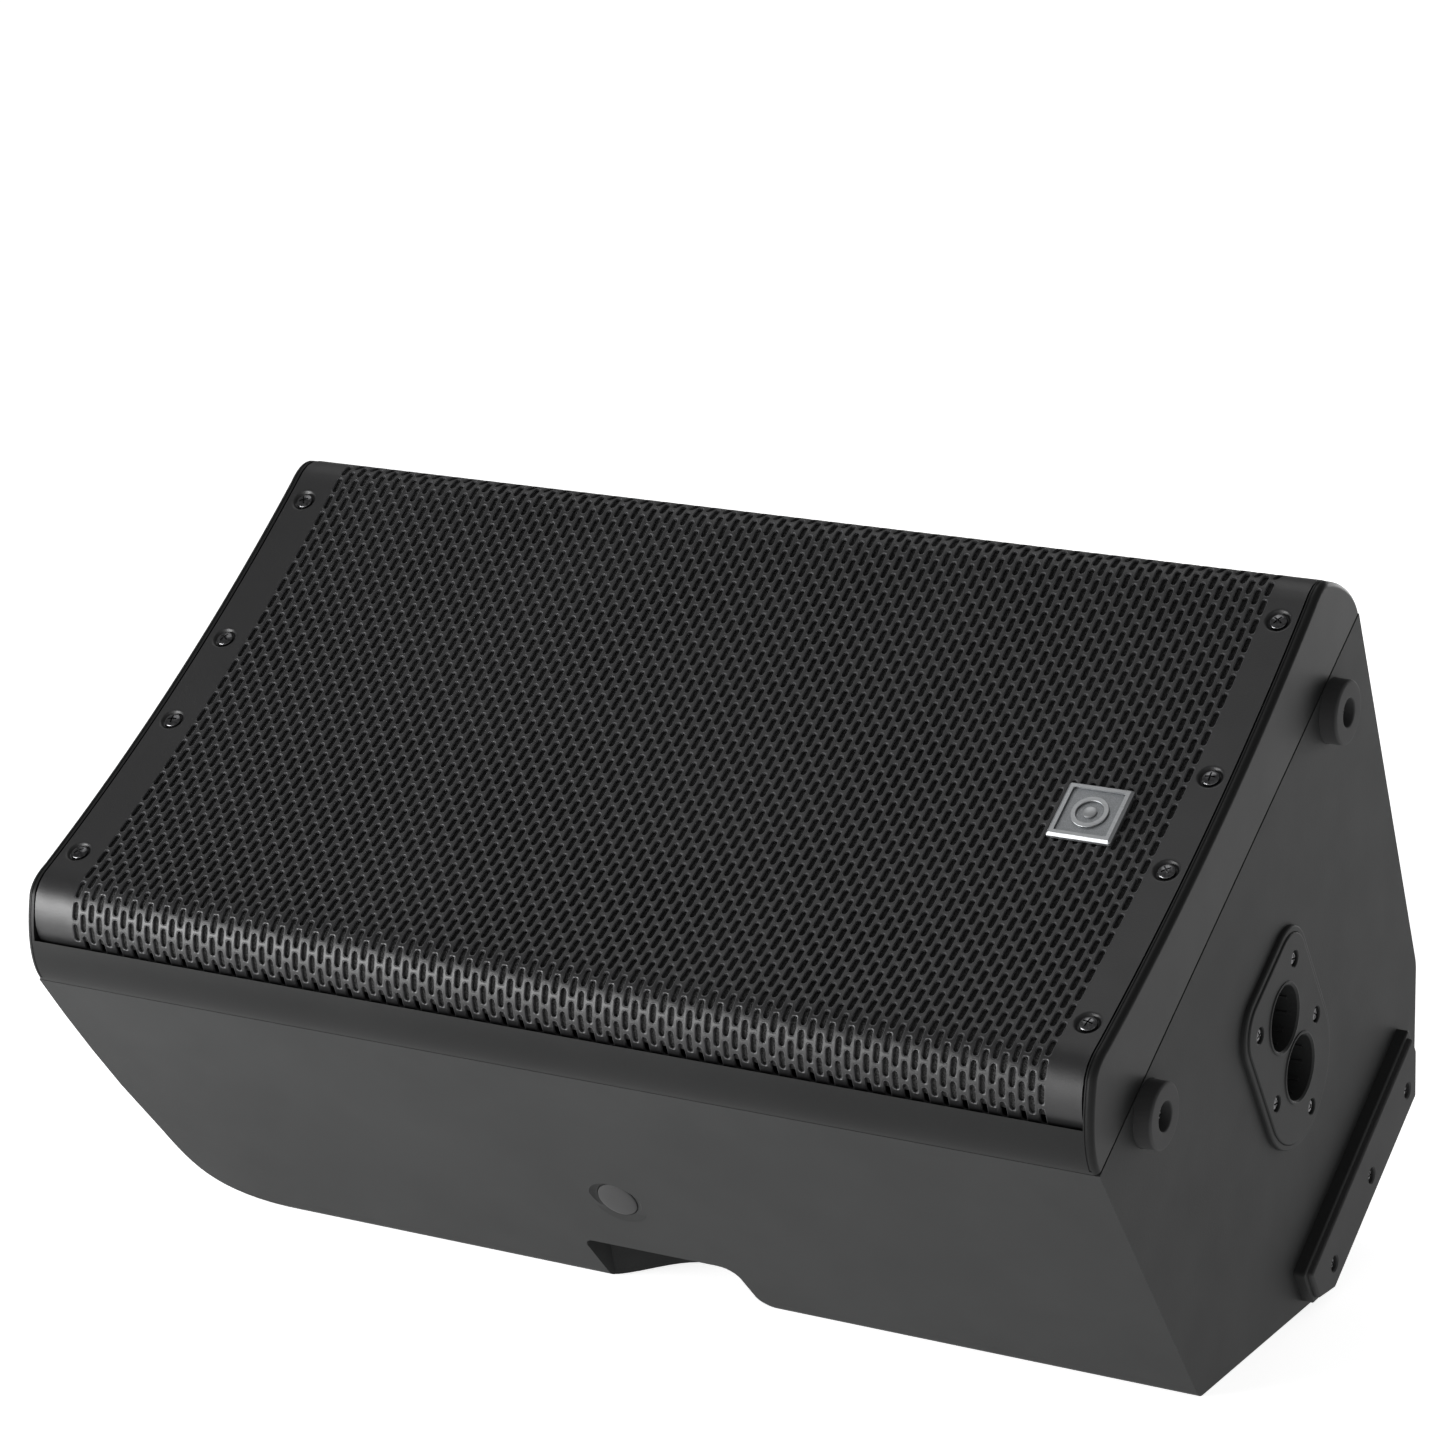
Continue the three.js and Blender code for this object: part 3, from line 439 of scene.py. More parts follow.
SHELL = Finish("charcoal_moulded_plastic", "shell", (0.015, 0.0154, 0.0154), (0.022, 0.0226, 0.0226),
               (0.5, 0.62), Pattern.GRAIN, 0.9, 0.035, specular=0.14)
FRAME = Finish("charcoal_front_plastic", "shell", (0.0076, 0.0078, 0.0078), (0.0114, 0.0117, 0.0117),
               (0.36, 0.46), Pattern.GRAIN, 0.8, 0.022, specular=0.12)
COATED_STEEL = Finish("black_coated_steel", "grille", (0.006, 0.006, 0.0063), (0.012, 0.012, 0.0125),
                      (0.40, 0.52), Pattern.POWDER, 0.7, 0.02, rims=True, specular=0.42)
FOAM = Finish("black_open_foam", "foam", (0.009, 0.009, 0.009), (0.042, 0.042, 0.042), (0.95, 1.0),
              Pattern.PORES, 0.8, 0.5, specular=0.1)
RUBBER = Finish("matte_rubber", "rubber", (0.016, 0.016, 0.0165), (0.025, 0.025, 0.0255), (0.7, 0.85),
                Pattern.GRAIN, 0.5, 0.02)
SILVER = Finish("cast_silver", "badge", (0.26, 0.265, 0.27), (0.42, 0.43, 0.44), (0.42, 0.54),
                Pattern.BRUSHED, 0.25, 0.01, metal=1.0)
SILVER_FIELD = Finish("grained_silver", "badge", (0.10, 0.105, 0.11), (0.30, 0.31, 0.32), (0.4, 0.55),
                      Pattern.CAST, 0.35, 0.06, metal=1.0)
SCREW = Finish("black_oxide_steel", "screws", (0.05, 0.05, 0.052), (0.14, 0.14, 0.144), (0.18, 0.3),
               Pattern.SATIN, 1.5, 0.01, metal=1.0)
PAPER = Finish("pressed_paper", "cone", (0.006, 0.006, 0.007), (0.014, 0.014, 0.016), (0.75, 0.9),
               Pattern.FIBRE, 1.2, 0.08)
BASKET = Finish("painted_basket_steel", "basket", (0.008, 0.008, 0.009), (0.016, 0.016, 0.018), (0.4, 0.55),
                Pattern.POWDER, 1.0, 0.03, metal=0.2)
MAGNET = Finish("plated_magnet_steel", "magnet", (0.06, 0.06, 0.065), (0.14, 0.14, 0.15), (0.35, 0.5),
                Pattern.BRUSHED, 0.6, 0.01, metal=0.8)
PANEL = Finish("black_panel_paint", "panel", (0.008, 0.008, 0.0085), (0.016, 0.016, 0.017), (0.42, 0.55),
               Pattern.POWDER, 0.5, 0.03, metal=0.2)
HEATSINK = Finish("anodised_aluminium", "heatsink", (0.02, 0.02, 0.022), (0.045, 0.045, 0.05), (0.32, 0.45),
                  Pattern.BRUSHED, 0.5, 0.012, metal=0.9)
BOARD = Finish("green_circuit_board", "board", (0.006, 0.05, 0.018), (0.015, 0.12, 0.045), (0.3, 0.45),
               Pattern.CIRCUIT, 3.0, 0.03, coat=0.4)
SATIN_PLASTIC = Finish("black_satin_plastic", "plastic", (0.008, 0.008, 0.0085), (0.014, 0.014, 0.015),
                       (0.34, 0.46), Pattern.SATIN, 0.6, 0.012)
NICKEL = Finish("nickel_plate", "steel", (0.48, 0.47, 0.44), (0.66, 0.65, 0.62), (0.16, 0.28),
                Pattern.BRUSHED, 0.4, 0.008, metal=1.0)
DISPLAY = Finish("dark_display_glass", "display", (0.004, 0.006, 0.009), (0.006, 0.009, 0.014), (0.06, 0.12),
                 Pattern.SATIN, 12.0, 0.004, coat=0.8)
WADDING = Finish("polyester_wadding", "wadding", (0.42, 0.40, 0.36), (0.68, 0.66, 0.60), (0.9, 1.0),
                 Pattern.FIBRE, 6.0, 1.2, sheen=0.4)
CABLE = Finish("cable_sheath", "rubber", (0.010, 0.010, 0.011), (0.02, 0.02, 0.021), (0.45, 0.6),
               Pattern.SATIN, 2.0, 0.02)
# painted shade: a gasket sits in the joint, and its near-black colour stands in for the shade of the shadow
# line
SHADE_BLACK_GASKET = Finish("black_gasket", "foam", (0.0015, 0.0015, 0.0015), (0.003, 0.003, 0.003), (0.9, 1.0),
                Pattern.PORES, 0.6, 0.1, specular=0.05)
WHITE_MARK = Finish("white_print", "panel", (0.55, 0.55, 0.55), (0.68, 0.68, 0.68), (0.5, 0.6),
                    Pattern.SATIN, 0.8, 0.01)


# ------------------------------------------------------------------ solids


class Solid:
    """A closed mesh in the cabinet's frame, in millimetres, that can be cut, joined, rounded and placed."""

    AXES: dict[str, Callable[[float, float, float], tuple[float, float, float]]] = {
        "x": lambda u, v, w: (w, u, v),
        "y": lambda u, v, w: (u, w, v),
        "z": lambda u, v, w: (u, v, w),
    }

    def __init__(self, shape: bmesh.types.BMesh, name: str = "solid") -> None:
        bmesh.ops.recalc_face_normals(shape, faces=shape.faces)
        mesh = bpy.data.meshes.new(name)
        shape.to_mesh(mesh)
        shape.free()
        self.thing = bpy.data.objects.new(name, mesh)
        bpy.context.scene.collection.objects.link(self.thing)

    @classmethod
    def prism(cls, outline: Outline, axis: str, low: float, high: float) -> Solid:
        """Pushes an outline along an axis.

        Args:
            outline: Points (y, z) along x, (x, z) along y, or (x, y) along z.
            axis: "x", "y" or "z".
            low: Where it starts.
            high: Where it ends.

        Returns:
            The solid.
        """
        shape = bmesh.new()
        place = cls.AXES[axis]
        rings = [[shape.verts.new(place(u, v, w)) for u, v in outline] for w in (low, high)]
        shape.faces.new(rings[0])
        shape.faces.new(rings[1])
        for i in range(len(outline)):
            shape.faces.new((rings[0][i - 1], rings[0][i], rings[1][i], rings[1][i - 1]))
        return cls(shape)

    @classmethod
    def box(cls, x: Point, y: Point, z: Point) -> Solid:
        """A box between two values along each axis."""
        return cls.prism([(x[0], y[0]), (x[1], y[0]), (x[1], y[1]), (x[0], y[1])], "z", *z)

    @classmethod
    def turned(cls, profile: Sequence[Point], segments: int = 48, axis: str = "z") -> Solid:
        """Turns a closed profile about an axis.

        Args:
            profile: Points (radius, height); points on the axis close the solid there.
            segments: Steps round the axis.
            axis: "z", "x", or "y".

        Returns:
            The solid.
        """
        shape = bmesh.new()
        place = cls.AXES[axis]
        rings: list[list[bmesh.types.BMVert]] = []
        for radius, height in profile:
            if radius < 1e-6:
                rings.append([shape.verts.new(place(0, 0, height))])
                continue
            angles = [2 * math.pi * k / segments for k in range(segments)]
            rings.append([shape.verts.new(place(radius * math.cos(a), radius * math.sin(a), height))
                          for a in angles])
        for first, second in zip(rings, rings[1:] + rings[:1]):
            if len(first) == 1 and len(second) == 1:
                continue
            for k in range(segments):
                n = (k + 1) % segments
                corners = [first[k % len(first)], first[n % len(first)], second[n % len(second)],
                           second[k % len(second)]]
                shape.faces.new(list(dict.fromkeys(corners)))
        return cls(shape)

    @classmethod
    def disc(cls, radius: float, low: float, high: float, segments: int = 40, axis: str = "z") -> Solid:
        """A round bar between two heights."""
        return cls.turned([(0, low), (radius, low), (radius, high), (0, high)], segments, axis)

    @classmethod
    def ring(cls, inner: float, outer: float, low: float, high: float, segments: int = 48,
             axis: str = "z") -> Solid:
        """A round tube between two heights."""
        return cls.turned([(inner, low), (outer, low), (outer, high), (inner, high)], segments, axis)

    def moved(self, x: float = 0, y: float = 0, z: float = 0) -> Solid:
        """Moves the solid."""
        self.thing.data.transform(Matrix.Translation((x, y, z)))
        return self

    def spun(self, degrees: float, axis: str) -> Solid:
        """Turns the solid about an axis through the origin."""
        self.thing.data.transform(Matrix.Rotation(math.radians(degrees), 4, axis.upper()))
        return self

    def _apply(self, kind: str, **settings: Any) -> Solid:
        """Adds one modifier and applies it at once."""
        modifier = self.thing.modifiers.new("step", kind)
        for key, value in settings.items():
            setattr(modifier, key, value)
        graph = bpy.context.evaluated_depsgraph_get()
        made = bpy.data.meshes.new_from_object(self.thing.evaluated_get(graph))
        self.thing.modifiers.clear()
        old, self.thing.data = self.thing.data, made
        bpy.data.meshes.remove(old)
        return self

    def _combine(self, other: Solid, operation: str) -> Solid:
        """Cuts, joins or intersects with another solid, which is used up."""
        self._apply("BOOLEAN", operation=operation, object=other.thing, solver="MANIFOLD")
        other.discard()
        return self

    def cut(self, *others: Solid) -> Solid:
        """Takes other solids away from this one."""
        for other in others:
            self._combine(other, "DIFFERENCE")
        return self

    def join(self, *others: Solid) -> Solid:
        """Adds other solids to this one."""
        for other in others:
            self._combine(other, "UNION")
        return self

    def common(self, *others: Solid) -> Solid:
        """Keeps only what this solid shares with the others."""
        for other in others:
            self._combine(other, "INTERSECT")
        return self

    def copy(self) -> Solid:
        """A second solid of the same shape."""
        shape = bmesh.new()
        shape.from_mesh(self.thing.data)
        return Solid(shape)

    def gather(self, *others: Solid) -> Solid:
        """Takes separate solids into this one without a boolean."""
        shape = bmesh.new()
        shape.from_mesh(self.thing.data)
        for other in others:
            shape.from_mesh(other.thing.data)
            other.discard()
        shape.to_mesh(self.thing.data)
        shape.free()
        return self

    def discard(self) -> None:
        """Removes the solid."""
        mesh = self.thing.data
        bpy.data.objects.remove(self.thing)
        bpy.data.meshes.remove(mesh)

    def rounded(self, radius: float, steps: int = 3, where: Callable[[Vector], bool] | None = None,
                sharp: float = 30.0) -> Solid:
        """Rounds sharp edges.

        Args:
            radius: Size of the rounding.
            steps: Faces across it.
            where: Picks edges by their middle point; all sharp edges if left out.
            sharp: Least angle in degrees between the faces of a sharp edge.

        Returns:
            This solid.
        """
        shape = bmesh.new()
        shape.from_mesh(self.thing.data)
        bmesh.ops.dissolve_degenerate(shape, dist=0.001, edges=shape.edges)
        least = math.radians(sharp)
        edges = [
            e for e in shape.edges
            if len(e.link_faces) == 2 and e.calc_face_angle(0.0) > least
            and (where is None or where((e.verts[0].co + e.verts[1].co) / 2))
        ]
        bmesh.ops.bevel(shape, geom=edges, offset=radius, offset_type="OFFSET", segments=steps, profile=0.5,
                        affect="EDGES", clamp_overlap=True)
        shape.to_mesh(self.thing.data)
        shape.free()
        return self

    def place(self, name: str, finish: Finish, body: str = CABINET, replaces: Sequence[str] = (),
              sharp: float = 32.0) -> bpy.types.Object:
        """Turns the solid into a named piece in the row frame.

        Args:
            name: Name of the piece.
            finish: Its material.
            body: The CAD body that it rides on.
            replaces: CAD nodes that it stands for.
            sharp: Edges sharper than this many degrees stay crisp.

        Returns:
            The piece's object.
        """
        mesh = self.thing.data
        mesh.transform(PLACE.matrix)
        mesh.materials.clear()
        mesh.materials.append(material_of(finish))
        return dress(self.thing, name, body, replaces, sharp)


def dress(thing: bpy.types.Object, name: str, body: str, replaces: Sequence[str],
          sharp: float) -> bpy.types.Object:
    """Names a finished object, smooths its shading and lets it ride on its body.

    Args:
        thing: The object, with its mesh in the row frame.
        name: Name of the piece.
        body: The CAD body that it rides on.
        replaces: CAD nodes that it stands for.
        sharp: Edges sharper than this many degrees stay crisp.

    Returns:
        The object.
    """
    thing.name = name
    thing.data.name = name
    smooth(thing, sharp)
    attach(thing, body)
    if replaces:
        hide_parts(*replaces)
    log.info("%s: %d faces, stands for %s", name, len(thing.data.polygons), ", ".join(replaces) or "nothing")
    return thing


def smooth(thing: bpy.types.Object, sharp: float) -> None:
    """Shades an object smoothly between its sharp edges, with large faces kept flat."""
    thing.data.shade_smooth()
    thing.data.set_sharp_from_angle(angle=math.radians(sharp))
    weigh = thing.modifiers.new("even_normals", "WEIGHTED_NORMAL")
    weigh.keep_sharp = True
    weigh.weight = 90


# ------------------------------------------------------------------ the front


DISH_MIDDLE = 42.3  # height of the front above the joint along its centre line
DISH_RISE = 0.00034  # how fast the front rises to both sides
SHOULDER_Y = 152.0  # where the dished front turns into its rolled-over edge


def dish(y: float) -> float:
    """Height of the front above the joint at a distance from its centre line."""
    return DISH_MIDDLE + DISH_RISE * y * y


SHOULDER = curve([(SHOULDER_Y, dish(SHOULDER_Y)), (166.0, 53.0), (173.0, 47.2)], 6)
FRAME_ROLL = curve([(173.0, 47.2), (187.0, 33.0), (197.5, 17.0), (HALF_WIDTH, GROOVE)], 18)
GRILLE_ROLL = curve([(173.0, 47.2), (184.0, 38.0), (186.0, 26.0)], 14) + [(186.5, 17.0)]


def front_line(roll: Outline) -> Outline:
    """Points across the front from the near side to the far side.

    Args:
        roll: The rolled-over edge on the far side, from the shoulder down.

    Returns:
        The whole line, with the near side mirrored.
    """
    half = [(y, dish(y)) for y in np.arange(0.0, SHOULDER_Y, 8.0)] + SHOULDER + roll[1:]
    return [(-y, z) for y, z in reversed(half[1:])] + half


@dataclass
class FrontFrame:
    """The moulded frame round the grille, with its baffle, seats and side strips."""

    pocket: Point = (-651.3, -5.2)
    strip_inside: float = 189.3
    lip: float = 27.0
    baffle: float = 6.0
    seat_width: float = 19.0
    sheet: float = 1.8
    ridge_groove: Point = (-4.5, -3.0)
    groove_depth: float = 0.35
    woofer: Point = (-190.0, 142.0)  # x and radius of its hole
    horn_window: tuple[Point, Point] = ((-608.0, -432.0), (-138.0, 138.0))
    port: tuple[float, float, float] = (-383.0, 132.0, 31.0)  # x, distance from the middle, radius
    screw_well: Point = (7.6, 3.4)  # radius and depth
    gasket_inset: float = 1.5
    gasket_width: float = 2.0

    def outside(self) -> Solid:
        """The outer form, with rounded ends and a shallow groove beside the ridge at each end."""
        line = front_line(FRAME_ROLL)
        solid = Solid.prism(line, "x", -LENGTH, 0.0)
        solid.rounded(EDGE_RADIUS - 1, 6, lambda m: m.z > GROOVE + 0.5 and (m.x > -1 or m.x < 1 - LENGTH))
        core = inset(list(reversed(line)), self.groove_depth)
        near, far = self.ridge_groove
        for low, high in ((near, far), (-LENGTH - far, -LENGTH - near)):
            solid.cut(Solid.prism([(-230, 3), (230, 3), (230, 90), (-230, 90)], "x", low, high)
                      .cut(Solid.prism(core, "x", low - 5, high + 5)))
        return solid

    def seats(self) -> Iterable[Solid]:
        """The seats under the grille's end bands."""
        line = front_line(GRILLE_ROLL)
        under = inset(list(reversed(line)), self.sheet)
        for low, high in ((self.pocket[0] - 1, self.pocket[0] + self.seat_width),
                          (self.pocket[1] - self.seat_width, self.pocket[1] + 1)):
            yield Solid.prism([*under[::-1], (184.0, 5.0), (-184.0, 5.0)], "x", low, high)

    def build(self) -> None:
        """Builds and places the frame."""
        solid = self.outside()
        solid.cut(Solid.box(self.pocket, (-self.strip_inside, self.strip_inside), (self.baffle, 90)))
        solid.cut(Solid.box(self.pocket, (-230, 230), (self.lip, 90)))
        solid.join(*self.seats())
        x, radius = self.woofer
        solid.cut(Solid.disc(radius, -5, 12, 96).moved(x=x))
        solid.cut(Solid.prism(rectangle(*self.horn_window, 30), "z", -5, 12))
        x, y, radius = self.port
        for side in (-1, 1):
            solid.cut(Solid.disc(radius, -5, 12).moved(x=x, y=y * side))
        radius, deep = self.screw_well
        for x in SCREW_ENDS:
            for y in SCREW_ACROSS:
                solid.cut(Solid.disc(radius, dish(y) - deep, 80, 24).moved(x=x, y=y))
        solid.rounded(0.9, 4, lambda m: (abs(abs(m.y) - self.strip_inside) < 0.6
                                         and self.lip - 3 < m.z < self.lip + 1))
        solid.rounded(0.4, 2, lambda m: m.z > self.lip + 1 and abs(m.y) < 196 and m.x > -LENGTH + 1)
        solid.place("front_frame_moulding", FRAME, replaces=("front_frame",))
        self.gasket()

    def gasket(self) -> None:
        """Builds and places the gasket in the joint, a little in from the outside; its near-black colour is
        painted shade for the joint's shadow line.
        """
        low, high = -LENGTH + self.gasket_inset, -self.gasket_inset
        out, gap, wide = HALF_WIDTH - self.gasket_inset, GROOVE - 0.05, self.gasket_width
        seal = Solid.box((low, high), (-out, out), (-gap, gap))
        seal.cut(Solid.box((low + wide, high - wide), (wide - out, out - wide), (-9, 9)))
        seal.place("joint_gasket", SHADE_BLACK_GASKET)


@dataclass
class PunchedGrille:
    """The steel grille: one curved sheet with staggered slots, plain end bands and dished screw seats."""

    edge: Point = (-650.3, -6.2)
    first_column: float = -28.5
    columns: int = 110
    pitch: float = 5.45
    slot_radius: float = 1.8
    slot_reach: float = 3.65  # from the slot's middle to the middle of its round end
    row_pitch: float = 12.8
    rows: int = 32
    thickness: float = 1.4
    dimple: float = 7.6
    dimple_floor: float = 5.4
    dimple_depth: float = 1.9
    hole: float = 2.4
    flat: list[Point] = field(default_factory=list)
    faces: list[list[int]] = field(default_factory=list)
    rims: list[float] = field(default_factory=list)
    index: dict[Point, int] = field(default_factory=dict)

    def __post_init__(self) -> None:
        """Measures the sheet's line, so that a distance along it gives a point and a normal."""
        line = np.array(front_line(GRILLE_ROLL))
        steps = np.linalg.norm(np.diff(line, axis=0), axis=1)
        along = np.concatenate([[0.0], np.cumsum(steps)])
        self.half = along[-1] / 2
        self.along = along - self.half
        self.line = line
        tangent = np.gradient(line, self.along, axis=0)
        tangent /= np.linalg.norm(tangent, axis=1)[:, None]
        self.normal = np.stack([-tangent[:, 1], tangent[:, 0]], axis=1)

    def corner(self, x: float, u: float, rim: float = 0.0) -> int:
        """The number of the sheet's corner at a place, shared by all faces that meet there."""
        key = (round(x, 3), round(u, 3))
        if key not in self.index:
            self.index[key] = len(self.flat)
            self.flat.append((x, u))
            self.rims.append(rim)
        return self.index[key]

    def slot(self, x: float, u: float) -> None:
        """Adds one cell of the pattern: a slot with the sheet round it."""
        hx, hu = self.pitch / 2, self.row_pitch / 2
        right = [self.corner(x + hx, u + v) for v in (-hu, 0.0, hu)]
        left = [self.corner(x - hx, u + v) for v in (-hu, 0.0, hu)]
        top, low = [], []
        for k in range(5):
            angle = math.pi * k / 4
            dx, du = self.slot_radius * math.cos(angle), self.slot_radius * math.sin(angle)
            top.append(self.corner(x + dx, u + self.slot_reach + du, 1.0))
            low.append(self.corner(x - dx, u - self.slot_reach - du, 1.0))
        for side, near, far, a, b in ((right, 1, 2, top, low), (left, 1, 0, low, top)):
            other = left if side is right else right
            self.faces += [
                [b[4], side[near], a[0]],
                [a[0], side[near], side[far], a[1]],
                [a[1], side[far], a[2]],
                [a[2], side[far], other[far]],
                [a[2], other[far], a[3]],
                [a[3], other[far], other[near], a[4]],
            ]

    def field_edges(self) -> list[float]:
        """Distances across the sheet at which its pattern has corners."""
        reach = self.rows * self.row_pitch / 2
        inner = [-reach + k * self.row_pitch / 2 for k in range(2 * self.rows + 1)]
        return [-self.half, *inner, self.half]

    def pattern(self) -> None:
        """Adds all the columns of slots and the plain hems along the long edges."""
        reach = self.rows * self.row_pitch / 2
        hx, hu = self.pitch / 2, self.row_pitch / 2
        for column in range(self.columns):
            x = self.first_column - column * self.pitch
            shifted = column % 2
            for row in range(self.rows - shifted):
                self.slot(x, -reach + hu + row * self.row_pitch + shifted * hu)
            strips = [(-self.half, -reach), (reach, self.half)]
            if shifted:
                strips += [(-reach, -reach + hu), (reach - hu, reach)]
            for low, high in strips:
                self.faces.append([self.corner(x - hx, low), self.corner(x + hx, low),
                                   self.corner(x + hx, high), self.corner(x - hx, high)])

    def band(self, inner: float, outer: float) -> None:
        """Adds a plain end band with its dished screw seats.

        Args:
            inner: x of its edge at the slots.
            outer: x of the sheet's end.
        """
        screws = [(x, self.across(y)) for x in SCREW_ENDS for y in SCREW_ACROSS if abs(x - outer) < 30]
        low, high = sorted((inner, outer))
        edges = self.field_edges()
        loop = [(inner, u) for u in edges] + [(outer, u) for u in reversed(edges)]
        points = [Vector(p) for p in loop]
        lines = [(i, (i + 1) % len(loop)) for i in range(len(loop))]
        for x, u in screws:
            for radius in (self.hole, 4.2, self.dimple_floor, 6.0, 6.5, 7.0, self.dimple, 8.4):
                start = len(points)
                count = 12 if radius == self.hole else 22
                points += [Vector((x + radius * math.cos(2 * math.pi * k / count),
                                   u + radius * math.sin(2 * math.pi * k / count))) for k in range(count)]
                lines += [(start + k, start + (k + 1) % count) for k in range(count)]
        for x in np.linspace(low, high, 5)[1:-1]:
            points += [Vector((x, u)) for u in edges[1:-1]
                       if all(math.hypot(x - sx, u - su) > 9.4 for sx, su in screws)]
        made = delaunay_2d_cdt(points, lines, [list(range(len(loop)))], 1, 1e-4)
        corners = [self.corner(p.x, p.y) for p in made[0]]
        for face in made[2]:
            middle = sum((made[0][i] for i in face), Vector((0, 0))) / len(face)
            if all((middle - Vector(s)).length > self.hole * 0.98 for s in screws):
                self.faces.append([corners[i] for i in face])

    def across(self, y: float) -> float:
        """The distance along the sheet of a point at y on the dished part."""
        return float(np.interp(y, self.line[:, 0], self.along))

    def sunk(self, x: float, u: float) -> float:
        """How far the sheet is pressed in at a place."""
        depth = 0.0
        for sx in SCREW_ENDS:
            if abs(x - sx) < self.dimple:
                for y in SCREW_ACROSS:
                    reach = math.hypot(x - sx, u - self.across(y))
                    share = 1 - smooth_step(self.dimple_floor, self.dimple, reach)
                    depth = max(depth, self.dimple_depth * share)
        return depth

    def point(self, x: float, u: float, below: float) -> tuple[float, float, float]:
        """A point of the curved sheet in the cabinet's frame, some way below its outer face."""
        y, z = (float(np.interp(u, self.along, self.line[:, axis])) for axis in (0, 1))
        ny, nz = (float(np.interp(u, self.along, self.normal[:, axis])) for axis in (0, 1))
        return (x, y - ny * below, z - nz * below)

    def build(self) -> None:
        """Builds and places the sheet."""
        hx = self.pitch / 2
        self.pattern()
        self.band(self.first_column + hx, self.edge[1])
        self.band(self.first_column - (self.columns - 1) * self.pitch - hx, self.edge[0])
        sinks = [self.sunk(x, u) for x, u in self.flat]
        top = [self.point(x, u, s) for (x, u), s in zip(self.flat, sinks)]
        bottom = [self.point(x, u, s + self.thickness) for (x, u), s in zip(self.flat, sinks)]
        count = len(top)
        area = [sum(self.flat[f[i - 1]][0] * self.flat[f[i]][1] - self.flat[f[i]][0] * self.flat[f[i - 1]][1]
                    for i in range(len(f))) for f in self.faces]
        faces = [f if a > 0 else f[::-1] for f, a in zip(self.faces, area)]
        used = {(f[i - 1], f[i]) for f in faces for i in range(len(f))}
        rim = [(a, b) for a, b in used if (b, a) not in used]
        walls = [[b, a, a + count, b + count] for a, b in rim]
        mesh = bpy.data.meshes.new("punched_grille")
        mesh.from_pydata(top + bottom, [], faces + [[i + count for i in reversed(f)] for f in faces] + walls)
        rims = mesh.attributes.new("rim", "FLOAT", "POINT")
        rims.data.foreach_set("value", np.array(self.rims * 2, np.float32))
        mesh.transform(PLACE.matrix)
        mesh.materials.append(material_of(COATED_STEEL))
        thing = bpy.data.objects.new("punched_grille", mesh)
        bpy.context.scene.collection.objects.link(thing)
        dress(thing, "punched_grille", CABINET, ("grille",), 40.0)
        triangles = sum(len(p.vertices) - 2 for p in mesh.polygons)
        log.info("punched_grille has %d triangles", triangles)


@dataclass
class GrilleFoam:
    """The thin foam behind the grille, which hides the loudspeakers."""

    gap: float = 1.7
    thickness: float = 3.0
    span: Point = (-632.0, -24.6)

    def build(self) -> None:
        """Builds and places the foam."""
        line = front_line(GRILLE_ROLL[:-1])
        outer = inset(list(reversed(line)), self.gap)[1:-1]
        inner = inset(list(reversed(line)), self.gap + self.thickness)[1:-1]
        Solid.prism([*outer, *reversed(inner)], "x", *self.span).place(
            "foam_layer", FOAM, replaces=("grille_foam",))


@dataclass
class Badge:
    """The cast badge on the grille: a bevelled frame round a sunk, grained field with a plain ring on it."""

    x: float = -70.5
    y: float = -4.0
    half: float = 18.6
    rim: float = 3.6
    bevel: float = 2.2
    height: float = 3.0
    field_height: float = 1.4

    def build(self) -> None:
        """Builds and places the frame, the field and its relief."""
        base = dish(self.half - self.y) + 0.3
        outer, inner = (-self.half, self.half), (self.rim - self.half, self.half - self.rim)
        edge = Solid.prism(rectangle(outer, outer, 1.4), "z", 0, self.height)
        edge.rounded(self.bevel, 1, lambda m: m.z > self.height - 0.1)
        edge.cut(Solid.prism(rectangle(inner, inner, 0.8), "z", self.field_height, 9))
        edge.rounded(0.2, 2, lambda m: m.z > self.field_height + 0.1)
        edge.moved(self.x, self.y, base).place("badge_casting", SILVER, replaces=("badge",))
        inset_span = (inner[0] + 0.15, inner[1] - 0.15)
        field_plate = Solid.prism(rectangle(inset_span, inset_span, 0.7), "z", self.field_height + 0.02,
                                  self.field_height + 0.35)
        field_plate.moved(self.x, self.y, base).place("badge_field", SILVER_FIELD)
        relief = Solid.ring(7.6, 10.4, 0, 1.1, 64).rounded(0.4, 3)
        relief.gather(Solid.turned([(0, 0), (3.8, 0), (3.8, 0.7), (3.2, 1.1), (0, 1.3)], 40))
        relief.moved(self.x, self.y, base + self.field_height + 0.38).place("badge_relief", SILVER)


@dataclass
class CrossScrew:
    """A pan-head screw with a cross recess, lying along z with its seat at 0."""

    head: float = 5.0
    height: float = 2.7
    shank: float = 2.1
    length: float = 8.0
    recess: float = 2.9

    def solid(self) -> Solid:
        """The screw's solid."""
        dome = [(self.head * math.sin(a), self.height * (0.35 + 0.65 * math.cos(a)))
                for a in np.linspace(math.pi / 2, 0, 9)]
        dome[-1] = (0.0, self.height)
        profile = [(0, -self.length), (self.shank, -self.length), (self.shank, 0), (self.head * 0.97, 0),
                   *dome]
        screw = Solid.turned(profile, 40)
        deep = self.height * 0.3
        for degrees in (0, 90):
            arm = Solid.prism([(-self.recess, 9), (-self.recess, self.height - 0.7), (-0.7, deep),
                               (0.7, deep), (self.recess, self.height - 0.7), (self.recess, 9)],
                              "y", -0.45, 0.45)
            screw.cut(arm.spun(degrees + 20, "z"))
        return screw


